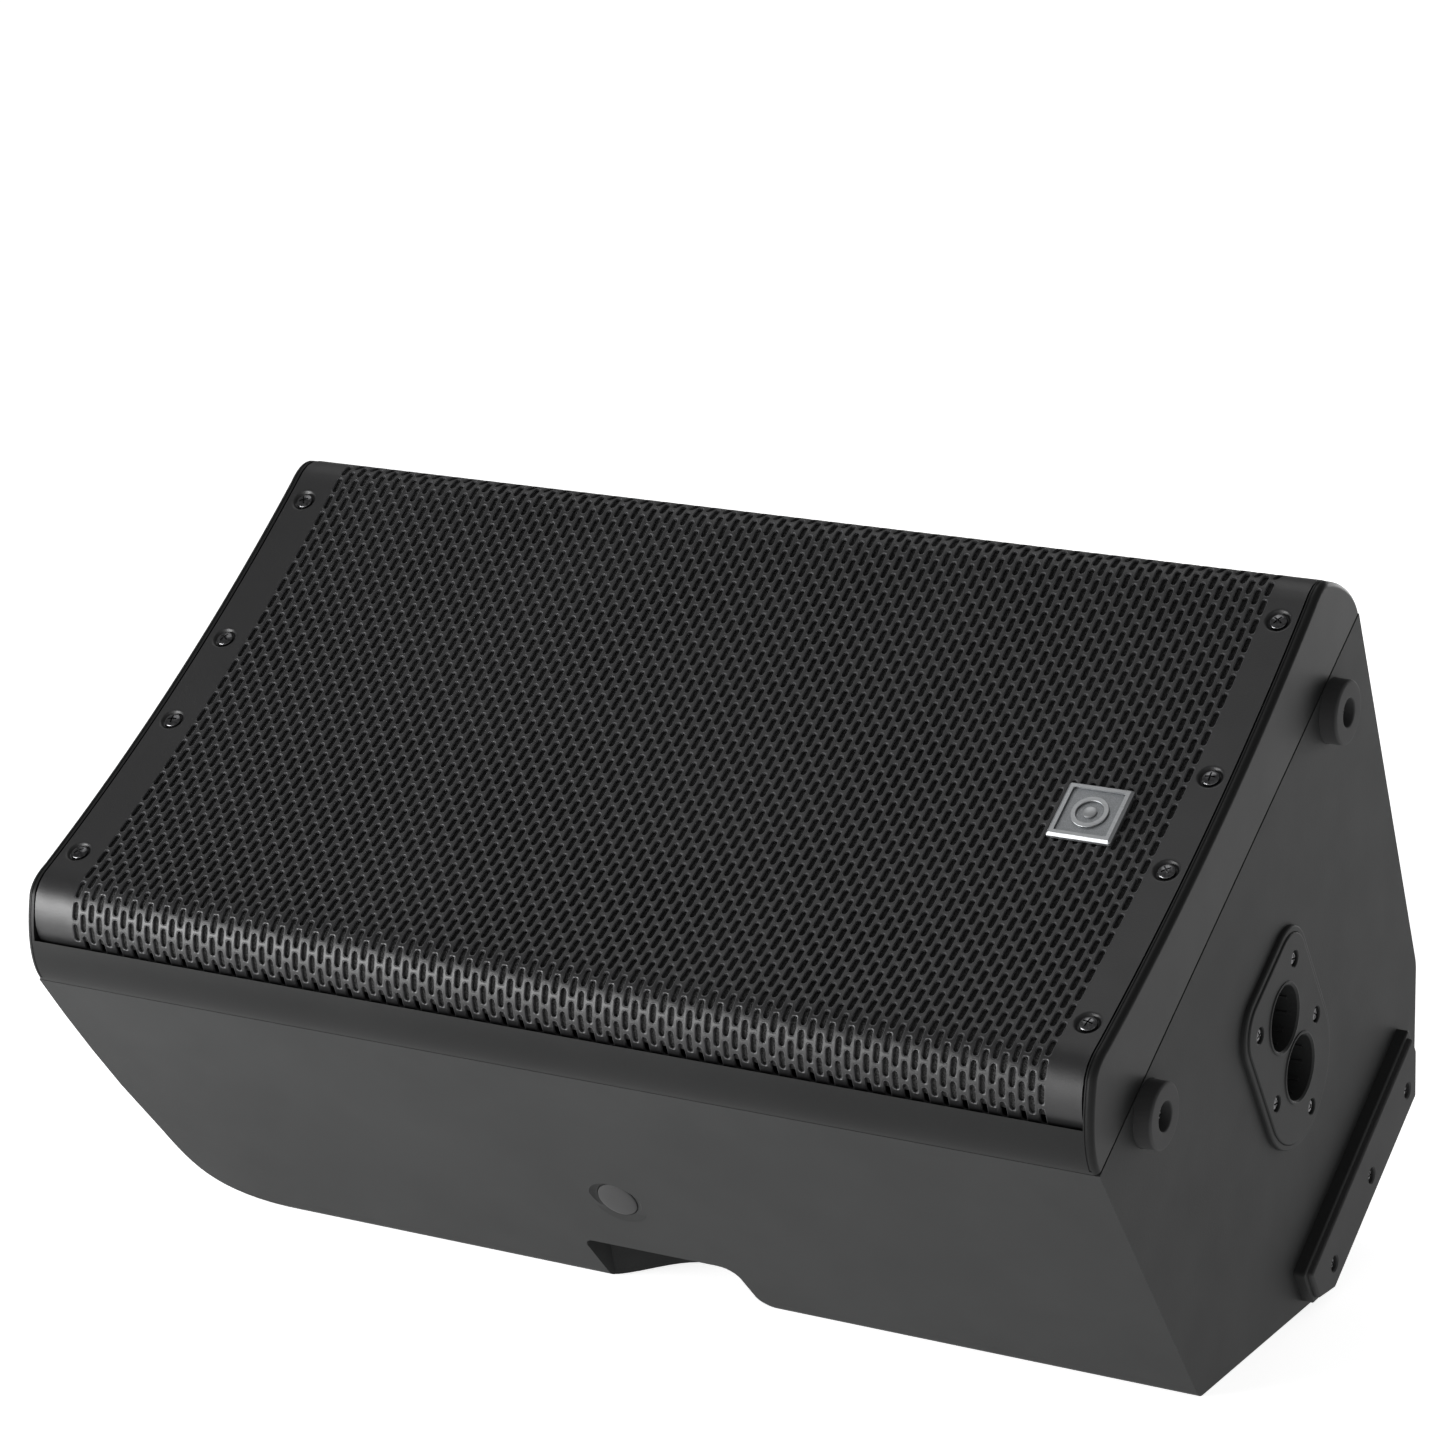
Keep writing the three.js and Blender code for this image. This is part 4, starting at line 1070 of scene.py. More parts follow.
@dataclass
class GrilleScrews:
    """The eight screws that hold the grille."""

    sunk: float = 1.8

    def build(self) -> None:
        """Builds and places the screws."""
        number = 0
        for x in SCREW_ENDS:
            for y in SCREW_ACROSS:
                number += 1
                screw = CrossScrew().solid().spun(37.0 * number, "z")
                screw.spun(math.degrees(math.atan(2 * DISH_RISE * y)), "x").moved(x, y, dish(y) - self.sunk)
                screw.place(f"grille_pan_screw_{number}", SCREW, replaces=(f"grille_screw_{number}",))


# ------------------------------------------------------------------ the rear shell


@dataclass
class RearShell:
    """The moulded rear shell, with its grip pockets, panel recess, plinths and plug recesses."""

    wall: float = 4.0
    end_sweep: float = 0.0006
    end_round: float = 45.0
    floor_curve: tuple[Point, ...] = (  # x and height above the floor: a straight start, then the handles
        (-743.0, 500.0), (-642.2, 51.5), (-635.5, 12.0), (-625.0, 0.0), (-545.0, 0.0))
    section_radii: tuple[float, float, float, float] = (9.0, 9.0, 14.0, 22.0)

    def section(self, steps: int) -> Outline:
        """The cross-section behind the joint, as (y, z)."""
        slope = math.radians(WEDGE_ANGLE)
        rear_near = NEAR_EDGE[0] + (DEPTH + NEAR_EDGE[1]) / math.tan(slope)
        first, second, third, fourth = self.section_radii
        return rounded([(-HALF_WIDTH, 8), (*NEAR_EDGE, first), (rear_near, -DEPTH, second),
                        (122.4, -DEPTH, third), (*FAR_EDGE, fourth), (HALF_WIDTH, 8)], steps)

    def volume(self, wall: float, steps: int) -> Solid:
        """The cabinet's form behind the joint, moved in by a wall.

        Args:
            wall: How far inside the outer surface.
            steps: Steps in each rounded edge.

        Returns:
            The form.
        """
        slope = math.radians(WEDGE_ANGLE)
        radius = self.end_round - wall
        rear = wall - DEPTH
        lean = [(self.end_x(n) + wall, -n) for n in np.linspace(0, 240, steps)]
        side = rounded([(10, 20), (wall - LENGTH, 20), *lean, (self.end_x(DEPTH) + wall, rear, radius),
                        (10, rear)], 2 * steps)
        floor = NEAR_EDGE[0] * math.sin(slope) + NEAR_EDGE[1] * math.cos(slope) + wall
        start, *handles = ((x + wall, floor + height) for x, height in self.floor_curve)
        under = [(10, start[1]), start, *curve(handles, 2 * steps), (10, floor)]
        solid = Solid.prism(inset(self.section(steps), wall), "x", -LENGTH - 10, -wall)
        return solid.common(Solid.prism(side, "y", -300, 300),
                            Solid.prism(under, "y", -600, 600).spun(-WEDGE_ANGLE, "x"))

    def end_x(self, n: float) -> float:
        """x of the top end at a distance behind the joint."""
        return self.end_sweep * n * n - LENGTH

    def build(self) -> None:
        """Builds and places the shell."""
        outer = self.volume(0.0, 8)
        outer.cut(Solid.box((-LENGTH - 50, 50), (-300, 300), (-GROOVE, 60)))
        outer.rounded(EDGE_RADIUS - 1, 5, lambda m: m.z < -GROOVE - 0.2)
        form = outer.copy()
        solid = outer.cut(self.volume(self.wall, 3))
        additions = [
            SideGrip().lining(3.5), TopGrip().lining(3.5), AmplifierPanel().recess(3.5, 7.0),
        ]
        for addition in additions:
            solid.join(addition.common(form.copy()))
        form.discard()
        solid.join(Solid.prism(PoleMount().outline(3.5), "x", -self.wall, 3.0).rounded(
            1.2, 3, lambda m: m.x > 2.9))
        solid.join(Solid.prism(FootStrip().outline(3.0), "x", -self.wall, 7.0).rounded(
            1.0, 3, lambda m: m.x > 6.9))
        for plug in (SidePlug(-1), SidePlug(1)):
            solid.join(plug.pin(18, -14, -1.5))
            solid.cut(plug.recess(), plug.pin(5, -12, 0))
        solid.cut(SideGrip().space(), TopGrip().space(), AmplifierPanel().recess(0.0, 3.3),
                  Solid.prism(AmplifierPanel().outline(-9), "z", -DEPTH - 5, -200),
                  Solid.prism(PoleMount().outline(0.3), "x", 0, 20),
                  Solid.prism(PoleMount().socket_outline(0.5), "x", -90, 20),
                  Solid.prism(FootStrip().outline(0.0), "x", 4.0, 20))
        for y in (-FOOT_Y, FOOT_Y):
            solid.cut(Solid.disc(18.3, -1.2, 10, 64, "x").moved(y=y, z=FOOT_Z))
        solid.place("rear_shell_moulding", SHELL, replaces=("rear_shell",))


@dataclass
class SideGrip:
    """The grip pocket in the near side's lower edge."""

    x: Point = (-367.0, -262.5)
    reach: float = 45.0
    flare: float = 12.0

    def outline(self) -> Outline:
        """The pocket's section, as (y, z)."""
        return rounded([(-215, -240), (-152, -252), (-141, -237, 6), (-130, -200, 8), (-142, -178, 10),
                        (-168, -174, 6), (-215, -178)], 6)

    def plan(self) -> Solid:
        """The pocket's plan in the floor face, with one slanting end, pushed up from the floor."""
        slope = math.radians(WEDGE_ANGLE)
        edge = NEAR_EDGE[0] * math.cos(slope) - NEAR_EDGE[1] * math.sin(slope)
        floor = NEAR_EDGE[0] * math.sin(slope) + NEAR_EDGE[1] * math.cos(slope)
        far = self.x[1] - self.x[0] + self.flare + 2
        slant = curve([(0.0, 0.0), (14.0, 4.0), (22.0, 28.0), (30.0, 44.0), (50.0, self.reach)], 12)
        inside = [(-2.0, -40.0), *slant, (far, self.reach), (far, -40.0)]
        outline = [(self.x[0] + x, edge + inwards) for x, inwards in inside]
        return Solid.prism(outline, "z", floor - 20, floor + 80).spun(-WEDGE_ANGLE, "x")

    def space(self) -> Solid:
        """The pocket's space, with rounded upper corners and a flared end."""
        low, high = self.x
        mouth = rounded([(low + 9, -300), (low + 5.5, -212), (low, -176, 6), (high - 8, -176, 12),
                         (high - 2, -206, 10), (high + 7, -213, 4), (high + self.flare - 1, -300)], 6)
        across = Solid.prism(mouth, "y", -260, -100)
        return Solid.prism(self.outline(), "x", low - 1, high + self.flare + 1).common(across, self.plan())

    def lining(self, wall: float) -> Solid:
        """The pocket's walls, as a filled block."""
        return Solid.prism(inset(self.outline(), -wall), "x", self.x[0] - wall, self.x[1] + wall + self.flare)


@dataclass
class TopGrip:
    """The grip pocket in the top end, with its bar."""

    half: float = 60.0
    low: float = -160.0
    high: float = -90.0
    floor: float = -597.0

    def block(self, grow: float) -> Solid:
        """The pocket's block, grown by a distance."""
        reach = self.half + grow
        shape = Solid.prism(rectangle((-reach, reach), (self.low - grow, self.high + grow), 10 + grow), "x",
                            -700, self.floor + grow)
        return shape

    def space(self) -> Solid:
        """The pocket's space."""
        return self.block(0.0).rounded(5, 4, lambda m: m.x > self.floor - 1)

    def lining(self, wall: float) -> Solid:
        """The pocket's walls, as a filled block."""
        return self.block(wall)

    def build(self) -> None:
        """Builds and places the bar."""
        bar = Solid.prism(rectangle((-644, -626), (-138, -112), 7, 8), "y", 0.3 - self.half, self.half - 0.3)
        for k in range(-4, 5):
            groove = Solid.prism(rectangle((-646, -624), (-140, -110), 8, 8), "y", 10 * k - 1, 10 * k + 1)
            bar.cut(groove.cut(Solid.prism(rectangle((-643.2, -626.8), (-137.2, -112.8), 6.4, 8), "y",
                                           10 * k - 3, 10 * k + 3)))
        bar.place("top_grip_handle", RUBBER, replaces=("top_grip_bar",))


@dataclass
class SidePlug:
    """A rubber plug that closes a rigging point in the near (-1) or far (+1) side."""

    side: int
    x: float = -325.6
    n: float = 124.8
    radius: float = 12.0

    def onto_side(self, solid: Solid) -> Solid:
        """Turns and moves a solid along z onto the side, with z pointing out of it."""
        edge = NEAR_EDGE if self.side < 0 else FAR_EDGE
        run = HALF_WIDTH - abs(edge[0])
        lean = math.degrees(math.atan2(run, -edge[1]))
        y = HALF_WIDTH - run * self.n / -edge[1]
        return solid.spun(-self.side * (90 - lean), "x").moved(self.x, self.side * y, -self.n)

    def pin(self, radius: float, low: float, high: float) -> Solid:
        """A round pin square to the side."""
        return self.onto_side(Solid.disc(radius, low, high, 48))

    def recess(self) -> Solid:
        """The dished seat round the plug."""
        return self.onto_side(Solid.turned([(0, -3.3), (self.radius + 0.5, -3.3), (self.radius + 0.5, -1.6),
                                            (self.radius + 2.2, -1.3), (self.radius + 4.6, 0.3),
                                            (self.radius + 4.6, 8), (0, 8)], 64))

    def build(self) -> None:
        """Builds and places the plug."""
        name = "near" if self.side < 0 else "far"
        dome = [(self.radius * math.sin(a), 1.5 * math.cos(a) - 1.3) for a in np.linspace(math.pi / 2, 0, 9)]
        dome[-1] = (0.0, 0.2)
        cap = Solid.turned([(0, -10), (4.5, -10), (4.5, -3), (self.radius, -3), *dome], 64)
        self.onto_side(cap).place(f"side_plug_{name}", RUBBER, replaces=(f"rigging_plug_{name}",))


# ------------------------------------------------------------------ base end


@dataclass
class PoleMount:
    """The pole plate on the base end, with two ribbed sockets and five screws."""

    half: float = 41.5
    top: float = -76.0
    round_z: float = -156.5
    proud: float = 4.0
    bore: float = 18.3
    depth: float = 80.0
    sockets: Point = (-112.2, -154.6)
    screws: tuple[Point, ...] = ((27, -94), (-27, -94), (31.5, -147), (-31.5, -147), (0, -188.8))

    def outline(self, grow: float) -> Outline:
        """The plate's outline grown by a distance, as (y, z)."""
        side, low = self.half + grow, self.round_z - self.half - grow
        return rounded([(-side, self.top + grow, 20 + grow), (-side, low, side - 0.1),
                        (side, low, side - 0.1), (side, self.top + grow, 20 + grow)], 16)

    def socket_outline(self, grow: float) -> Outline:
        """The outline round both sockets, as (y, z)."""
        half = 22 + grow
        top, low = self.sockets[0] + half, self.sockets[1] - half
        return rounded([(-half, top, half - 0.1), (-half, low, half - 0.1), (half, low, half - 0.1),
                        (half, top, half - 0.1)], 12)

    def build(self) -> None:
        """Builds and places the plate and its screws."""
        plate = Solid.prism(self.outline(0.0), "x", 0.3, self.proud).rounded(1.0, 3, lambda m: m.x > 1)
        plate.join(Solid.prism(self.socket_outline(0.0), "x", -self.depth - 3, 1))
        for z in self.sockets:
            plate.join(Solid.ring(self.bore - 1, self.bore + 2.2, 1, self.proud + 0.7, 72, "x").rounded(
                0.6, 2, lambda m: m.x > self.proud).moved(z=z))
        for z in self.sockets:
            bore = Solid.turned([(0, -self.depth), (self.bore, -self.depth), (self.bore, self.proud - 0.4),
                                 (self.bore + 1.1, self.proud + 0.8), (self.bore + 1.1, 20), (0, 20)],
                                72, "x")
            for k in range(12):
                rib = Solid.prism([(self.bore - 0.9, -0.8), (self.bore + 3, -1.2), (self.bore + 3, 1.2),
                                   (self.bore - 0.9, 0.8)], "x", -self.depth - 1, -2)
                bore.cut(rib.spun(30 * k + 15, "x"))
            plate.cut(bore.moved(z=z))
        for y, z in self.screws:
            well = Solid.turned([(0, 1.2), (4.6, 1.2), (4.6, self.proud - 0.5), (5.2, self.proud + 0.1),
                                 (5.2, 9), (0, 9)], 40, "x")
            plate.cut(well.moved(y=y, z=z))
        plate.place("pole_plate", SHELL, replaces=("pole_mount",))
        for number, (y, z) in enumerate(self.screws, 1):
            screw = CrossScrew(head=4.1, height=2.1, shank=1.6, length=0.0001, recess=2.3).solid()
            screw.spun(31.0 * number, "z").spun(90, "y").moved(x=1.25, y=y, z=z)
            screw.place(f"pole_plate_screw_{number}", SCREW)


@dataclass
class RoundFoot:
    """A round rubber foot with its sunk screw, for standing the cabinet upright."""

    name: str
    y: float
    radius: float = 18.0
    height: float = 10.0
    hole: float = 8.0

    def build(self) -> None:
        """Builds and places the foot and its screw."""
        r, h = self.radius, self.height
        edge = [(r - 1.6 + 1.6 * math.cos(a), h - 1.6 + 1.6 * math.sin(a))
                for a in np.linspace(0, math.pi / 2, 6)]
        lip = [(self.hole + 0.9 - 0.9 * math.sin(a), h - 0.9 + 0.9 * math.cos(a))
               for a in np.linspace(0, math.pi / 2, 5)]
        profile = [(0, -FOOT_BACK), (r, -FOOT_BACK), *edge, *lip, (self.hole - 0.4, 4), (0, 4)]
        Solid.turned(profile, 72, "x").moved(y=self.y, z=FOOT_Z).place(
            f"round_foot_{self.name}", RUBBER, replaces=(f"foot_{self.name}",))
        screw = CrossScrew(head=4.4, height=2.6, shank=2.0, length=0.0001, recess=2.5).solid()
        screw.spun(50, "z").spun(90, "y").moved(4.15, self.y, FOOT_Z)
        screw.place(f"round_foot_screw_{self.name}", SCREW, replaces=(f"foot_screw_{self.name}",))


@dataclass
class FootStrip:
    """The long rubber foot along the base end's rear edge, with three sunk screws."""

    low: float = -59.0
    high: float = 112.0
    top: float = -264.0
    height: float = 10.0
    screws: tuple[float, ...] = (-34.3, 28.4, 90.5)
    screw_z: float = -286.0

    def outline(self, grow: float) -> Outline:
        """The strip's outline grown by a distance, as (y, z)."""
        return rounded([
            (self.high + grow, self.top + grow, 2), (self.low - grow, self.top + grow, 2),
            (self.low - grow, -286 - grow * 0.4, 2), (-41, -300, 2), (98, -300, 2),
            (self.high + grow, -276 - grow * 0.4, 2),
        ], 4)

    def build(self) -> None:
        """Builds and places the strip and its screws."""
        pad = Solid.prism(inset(self.outline(0.0), 0.3), "x", 4.3, self.height).rounded(
            1.4, 4, lambda m: m.x > self.height - 0.1)
        for y in self.screws:
            well = Solid.turned([(0, 6.5), (4.6, 6.5), (4.6, self.height - 0.8), (5.4, self.height + 0.1),
                                 (5.4, 14), (0, 14)], 40, "x")
            pad.cut(well.moved(y=y, z=self.screw_z))
        pad.place("foot_strip_pad", RUBBER, replaces=("foot_strip",))
        for number, y in enumerate(self.screws, 1):
            screw = CrossScrew(head=3.9, height=2.2, shank=1.6, length=0.0001, recess=2.2).solid()
            screw.spun(70.0 * number, "z").spun(90, "y").moved(6.55, y, self.screw_z)
            screw.place(f"foot_strip_screw_{number}", SCREW, replaces=(f"strip_screw_{number}",))


# ------------------------------------------------------------------ amplifier panel


@dataclass
class AmplifierPanel:
    """The amplifier panel in the rear face: its plate, heatsink and window."""

    x: Point = (-332.0, -38.0)
    y: Point = (-36.0, 110.0)
    z: float = 15.0 - DEPTH  # outer face of the plate
    sheet: float = 3.0
    sockets: tuple[float, ...] = (-4.0, 34.0, 72.0)
    socket_x: float = -300.0
    knob_x: float = -258.0
    knobs: tuple[float, ...] = (-4.0, 34.0)
    encoder_y: float = 82.0
    button_x: float = -228.0
    buttons: tuple[float, ...] = (58.0, 72.0, 86.0)
    display_x: Point = (-240.0, -214.0)
    display_y: Point = (-14.0, 46.0)
    heatsink_x: Point = (-204.0, -96.0)
    heatsink_y: Point = (-28.0, 102.0)
    inlet: Point = (-66.0, 4.0)
    rocker: Point = (-66.0, 64.0)
    rocker_tilt: float = 12.0

    def outline(self, grow: float) -> Outline:
        """The panel's outline grown by a distance."""
        return rectangle((self.x[0] - grow, self.x[1] + grow), (self.y[0] - grow, self.y[1] + grow),
                         max(0.5, 5 + grow))

    def recess(self, grow: float, deep: float) -> Solid:
        """The recess that the panel sits in, as a filled block."""
        return Solid.prism(self.outline(grow), "z", -DEPTH - 5, self.z + deep)

    def plate(self) -> None:
        """Builds and places the plate."""
        plate = Solid.prism(self.outline(-0.4), "z", self.z, self.z + self.sheet)
        plate.rounded(0.6, 2, lambda m: m.z < self.z + 0.1)
        low, high = self.z - 2, self.z + 6
        holes = [(self.socket_x, y, 12.4) for y in self.sockets] + [(self.knob_x, y, 3.6) for y in self.knobs]
        holes += [(self.knob_x, self.encoder_y, 3.6)] + [(self.button_x, y, 4.3) for y in self.buttons]
        for x, y, radius in holes:
            plate.cut(Solid.disc(radius, low, high, 40).moved(x, y))
        for (x, y), (half_x, half_y) in ((self.inlet, (14.2, 10.6)), (self.rocker, (11.4, 7.4))):
            plate.cut(Solid.box((x - half_x, x + half_x), (y - half_y, y + half_y), (low, high)))
        (x0, x1), (y0, y1) = self.display_x, self.display_y
        plate.cut(Solid.box((x0 + 3, x1 - 3), (y0 + 3, y1 - 3), (low, high)))
        plate.place("amplifier_plate", PANEL, replaces=("amp_panel",))
        corners = [(x, y) for x in (self.x[0] + 6, (self.x[0] + self.x[1]) / 2 - 27, self.x[1] - 6)
                   for y in (self.y[0] + 5, self.y[1] - 5)]
        for number, (x, y) in enumerate(corners, 1):
            screw = CrossScrew(head=3.4, height=1.9, shank=1.4, length=0.0001, recess=1.9).solid()
            screw.spun(180, "x").spun(25.0 * number, "z").moved(x, y, self.z - 0.05)
            screw.place(f"amplifier_plate_screw_{number}", SCREW)

    def marks(self) -> None:
        """Builds and places the printed rings and dots round the knobs, with no lettering."""
        marks: Solid | None = None
        for y in self.knobs:
            for k in range(11):
                angle = math.radians(-240 + 30 * k)
                dot = Solid.disc(0.55 if k % 5 else 0.9, self.z - 0.12, self.z - 0.02, 12).moved(
                    self.knob_x + 10.5 * math.cos(angle), y + 10.5 * math.sin(angle))
                marks = dot if marks is None else marks.gather(dot)
        marks.place("panel_dots", WHITE_MARK)

    def heatsink(self) -> None:
        """Builds and places the finned heatsink."""
        (x0, x1), (y0, y1) = self.heatsink_x, self.heatsink_y
        sink = Solid.box((x0, x1), (y0, y1), (self.z - 3.3, self.z - 0.3))
        fins = 13
        for k in range(fins):
            y = y0 + k * (y1 - y0 - 2.2) / (fins - 1)
            fin = [(y, self.z - 3), (y + 0.25, self.z - 12.4), (y + 0.7, self.z - 13), (y + 1.5, self.z - 13),
                   (y + 1.95, self.z - 12.4), (y + 2.2, self.z - 3)]
            sink.join(Solid.prism(fin, "x", x0, x1))
        sink.place("finned_heatsink", HEATSINK, replaces=("amp_heatsink",))

    def display(self) -> None:
        """Builds and places the display window and its frame."""
        (x0, x1), (y0, y1) = self.display_x, self.display_y
        glass = Solid.prism(rectangle((x0 + 1.6, x1 - 1.6), (y0 + 1.6, y1 - 1.6), 1.2), "z", self.z - 0.9,
                            self.z - 0.3)
        glass.join(Solid.box((x0 + 3.4, x1 - 3.4), (y0 + 3.4, y1 - 3.4), (self.z - 0.6, self.z + 5)))
        glass.place("display_glass", DISPLAY, replaces=("display_window",))
        rim = Solid.prism(rectangle((x0, x1), (y0, y1), 2), "z", self.z - 1.3, self.z - 0.3)
        rim.cut(Solid.prism(rectangle((x0 + 1.8, x1 - 1.8), (y0 + 1.8, y1 - 1.8), 1.2), "z", self.z - 5,
                            self.z + 5))
        rim.rounded(0.3, 2, lambda m: m.z < self.z - 1.2)
        rim.place("display_frame", SATIN_PLASTIC)

    def audio_socket(self, name: str, y: float, latch: bool) -> None:
        """Builds and places one round audio socket, and its release latch where it has one.

        Args:
            name: The CAD node that it stands for.
            y: Its place across the panel.
            latch: Whether it has a latch.
        """
        flange = Solid.prism(rectangle((-15.5, 15.5), (-13, 13), 2.5), "z", -2.5, -0.3)
        flange.rounded(0.5, 2, lambda m: m.z < -2.4)
        flange.join(Solid.disc(12, -1, 30, 56), Solid.ring(9.6, 11.4, -3.1, -1, 56))
        flange.cut(Solid.disc(8, -5, 16, 56))
        if latch:
            flange.cut(Solid.box((9.3, 11.3), (-3.8, 3.8), (-6, 9)))
        for side_x, side_y in ((-13.0, 10.5), (13.0, -10.5)):
            flange.cut(Solid.disc(1.5, -4, -1.4, 20).moved(side_x, side_y))
        core = Solid.disc(7.0, 9.5, 15.9, 40)
        for k in range(3):
            a = math.radians(90 + 120 * k)
            core.join(Solid.disc(0.9, 4, 10, 12).moved(3.4 * math.cos(a), 3.4 * math.sin(a)))
        flange.gather(core.moved(z=0.0))
        flange.moved(self.socket_x, y, self.z).place(f"{name}_body", SATIN_PLASTIC, replaces=(name,))
        if latch:
            number = name[-1]
            tab = Solid.box((-0.7, 0.7), (-3.5, 3.5), (-4.2, 5)).rounded(0.3, 2)
            tab.moved(self.socket_x + 10.3, y, self.z).place(
                f"{name}_release", NICKEL, f"latch_{number}_body", (f"{name}_latch",))

    def knob(self, name: str, node: str, y: float, radius: float, height: float) -> None:
        """Builds and places a control knob with a fluted skirt and a pointer line.

        Args:
            name: Name of the piece.
            node: The CAD node that it stands for; its body has the same name with "_body".
            y: Its place across the panel.
            radius: Outer radius.
            height: How far it stands out of the panel.
        """
        knob = Solid.turned([(0, -height), (radius * 0.72, -height), (radius * 0.8, -height + 0.5),
                             (radius * 0.84, -height + 1.2), (radius * 0.98, -1.4), (radius, -1),
                             (0, -1)], 64)
        flutes = 18
        for k in range(flutes):
            flute = Solid.disc(0.75, -height - 1, -1.8, 10).moved(radius * 0.99)
            knob.cut(flute.spun(360 * (k + 0.5) / flutes, "z"))
        knob.join(Solid.disc(3, -2, 12, 24))
        knob.moved(self.knob_x, y, self.z).place(name, SATIN_PLASTIC, f"{node}_body", (node,))
        line = Solid.box((-0.45, 0.45), (radius * 0.25, radius * 0.76), (-height - 0.3, -height + 0.05))
        line.rounded(0.1, 1).moved(self.knob_x, y, self.z)
        line.place(f"{name}_pointer", WHITE_MARK, f"{node}_body")

    def inlet_and_switch(self) -> None:
        """Builds and places the mains inlet, the rocker's frame and the rocker."""
        x, y = self.inlet
        inlet = Solid.prism(rectangle((-16, 16), (-12.5, 12.5), 3), "z", -2.3, -0.3)
        inlet.rounded(0.5, 2, lambda m: m.z < -2.2)
        inlet.join(Solid.box((-13.8, 13.8), (-10.2, 10.2), (-1, 24)))
        inlet.cut(Solid.prism(rounded([(-11.8, -8, 1.5), (11.8, -8, 1.5), (11.8, 4, 1), (7.5, 8, 1),
                                       (-7.5, 8, 1), (-11.8, 4, 1)], 5), "z", -5, 17))
        inlet.moved(x, y, self.z).place("mains_inlet_body", SATIN_PLASTIC, replaces=("mains_inlet",))
        pins: Solid | None = None
        for px, py in ((-7.0, -2.0), (0.0, 2.5), (7.0, -2.0)):
            pin = Solid.box((px - 1.1, px + 1.1), (py - 2.2, py + 2.2), (3, 16.9)).rounded(0.4, 2)
            pins = pin if pins is None else pins.gather(pin)
        pins.moved(x, y, self.z).place("mains_inlet_pins", NICKEL)
        x, y = self.rocker
        rim = Solid.prism(rectangle((-13, 13), (-9, 9), 1.5), "z", -2.2, -0.3)
        rim.rounded(0.5, 2, lambda m: m.z < -2.1)
        rim.join(Solid.box((-11, 11), (-7, 7), (-1, 20))).cut(Solid.box((-10, 10), (-6, 6), (-5, 9)))
        rim.moved(x, y, self.z).place("power_switch_surround", SATIN_PLASTIC,
                                      replaces=("power_switch_frame",))
        outline = [(-8.9, -3.4), (-4.5, -2.1), (0, -1.6), (4.5, -2.1), (8.9, -3.4), (9, 0.5), (2, 5), (-2, 5),
                   (-9, 0.5)]
        rocker = Solid.prism(outline, "y", -5.6, 5.6).rounded(0.35, 2)
        rocker.spun(self.rocker_tilt, "y").moved(x, y, self.z + 0.8)
        rocker.place("power_switch_rocker", SATIN_PLASTIC, "rocker_body", ("power_rocker",))

    def button_caps(self) -> None:
        """Builds and places the three menu buttons."""
        for number, y in enumerate(self.buttons, 1):
            cap = Solid.turned([(0, -2.2), (2.8, -2.2), (3.6, -1.9), (4, -1.3), (4, 5), (0, 5)], 40)
            cap.moved(self.button_x, y, self.z).place(
                f"menu_button_cap_{number}", RUBBER, f"menu_button_{number}_body", (f"menu_button_{number}",))

    def build(self) -> None:
        """Builds and places the whole panel."""
        self.plate()
        self.marks()
        self.heatsink()
        self.display()
        for name, y, latch in zip(("input_socket_1", "input_socket_2", "link_socket"), self.sockets,
                                  (True, True, False)):
            self.audio_socket(name, y, latch)
        for number, y in enumerate(self.knobs, 1):
            self.knob(f"level_knob_{number}", f"gain_knob_{number}", y, 7.0, 11.0)
        self.knob("menu_dial", "menu_encoder", self.encoder_y, 9.0, 11.5)
        self.button_caps()
        self.inlet_and_switch()


# ------------------------------------------------------------------ inside


@dataclass
class Interior:
    """The loudspeakers, ports, boards, leads and wadding inside, which keep their CAD shapes."""

    finishes: dict[str, Finish] = field(default_factory=lambda: {
        "woofer_basket": BASKET, "woofer_magnet": MAGNET, "woofer_surround": RUBBER, "woofer_spider": PAPER,
        "woofer_cone": PAPER, "woofer_dust_cap": PAPER, "voice_coil": MAGNET, "horn_flare": SATIN_PLASTIC,
        "compression_driver": MAGNET, "port_near": SATIN_PLASTIC, "port_far": SATIN_PLASTIC,
        "power_supply_board": BOARD, "amplifier_board": BOARD, "signal_board": BOARD, "woofer_lead": CABLE,
        "horn_lead": CABLE, "wadding": WADDING,
    })

    def build(self) -> None:
        """Gives each CAD node its finish and smooth shading."""
        for name, finish in self.finishes.items():
            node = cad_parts[name]
            node.data.materials.clear()
            node.data.materials.append(material_of(finish))
            smooth(node, 32.0)
            log.info("%s: keeps its CAD shape, %s", name, finish.name)


# ------------------------------------------------------------------ studio


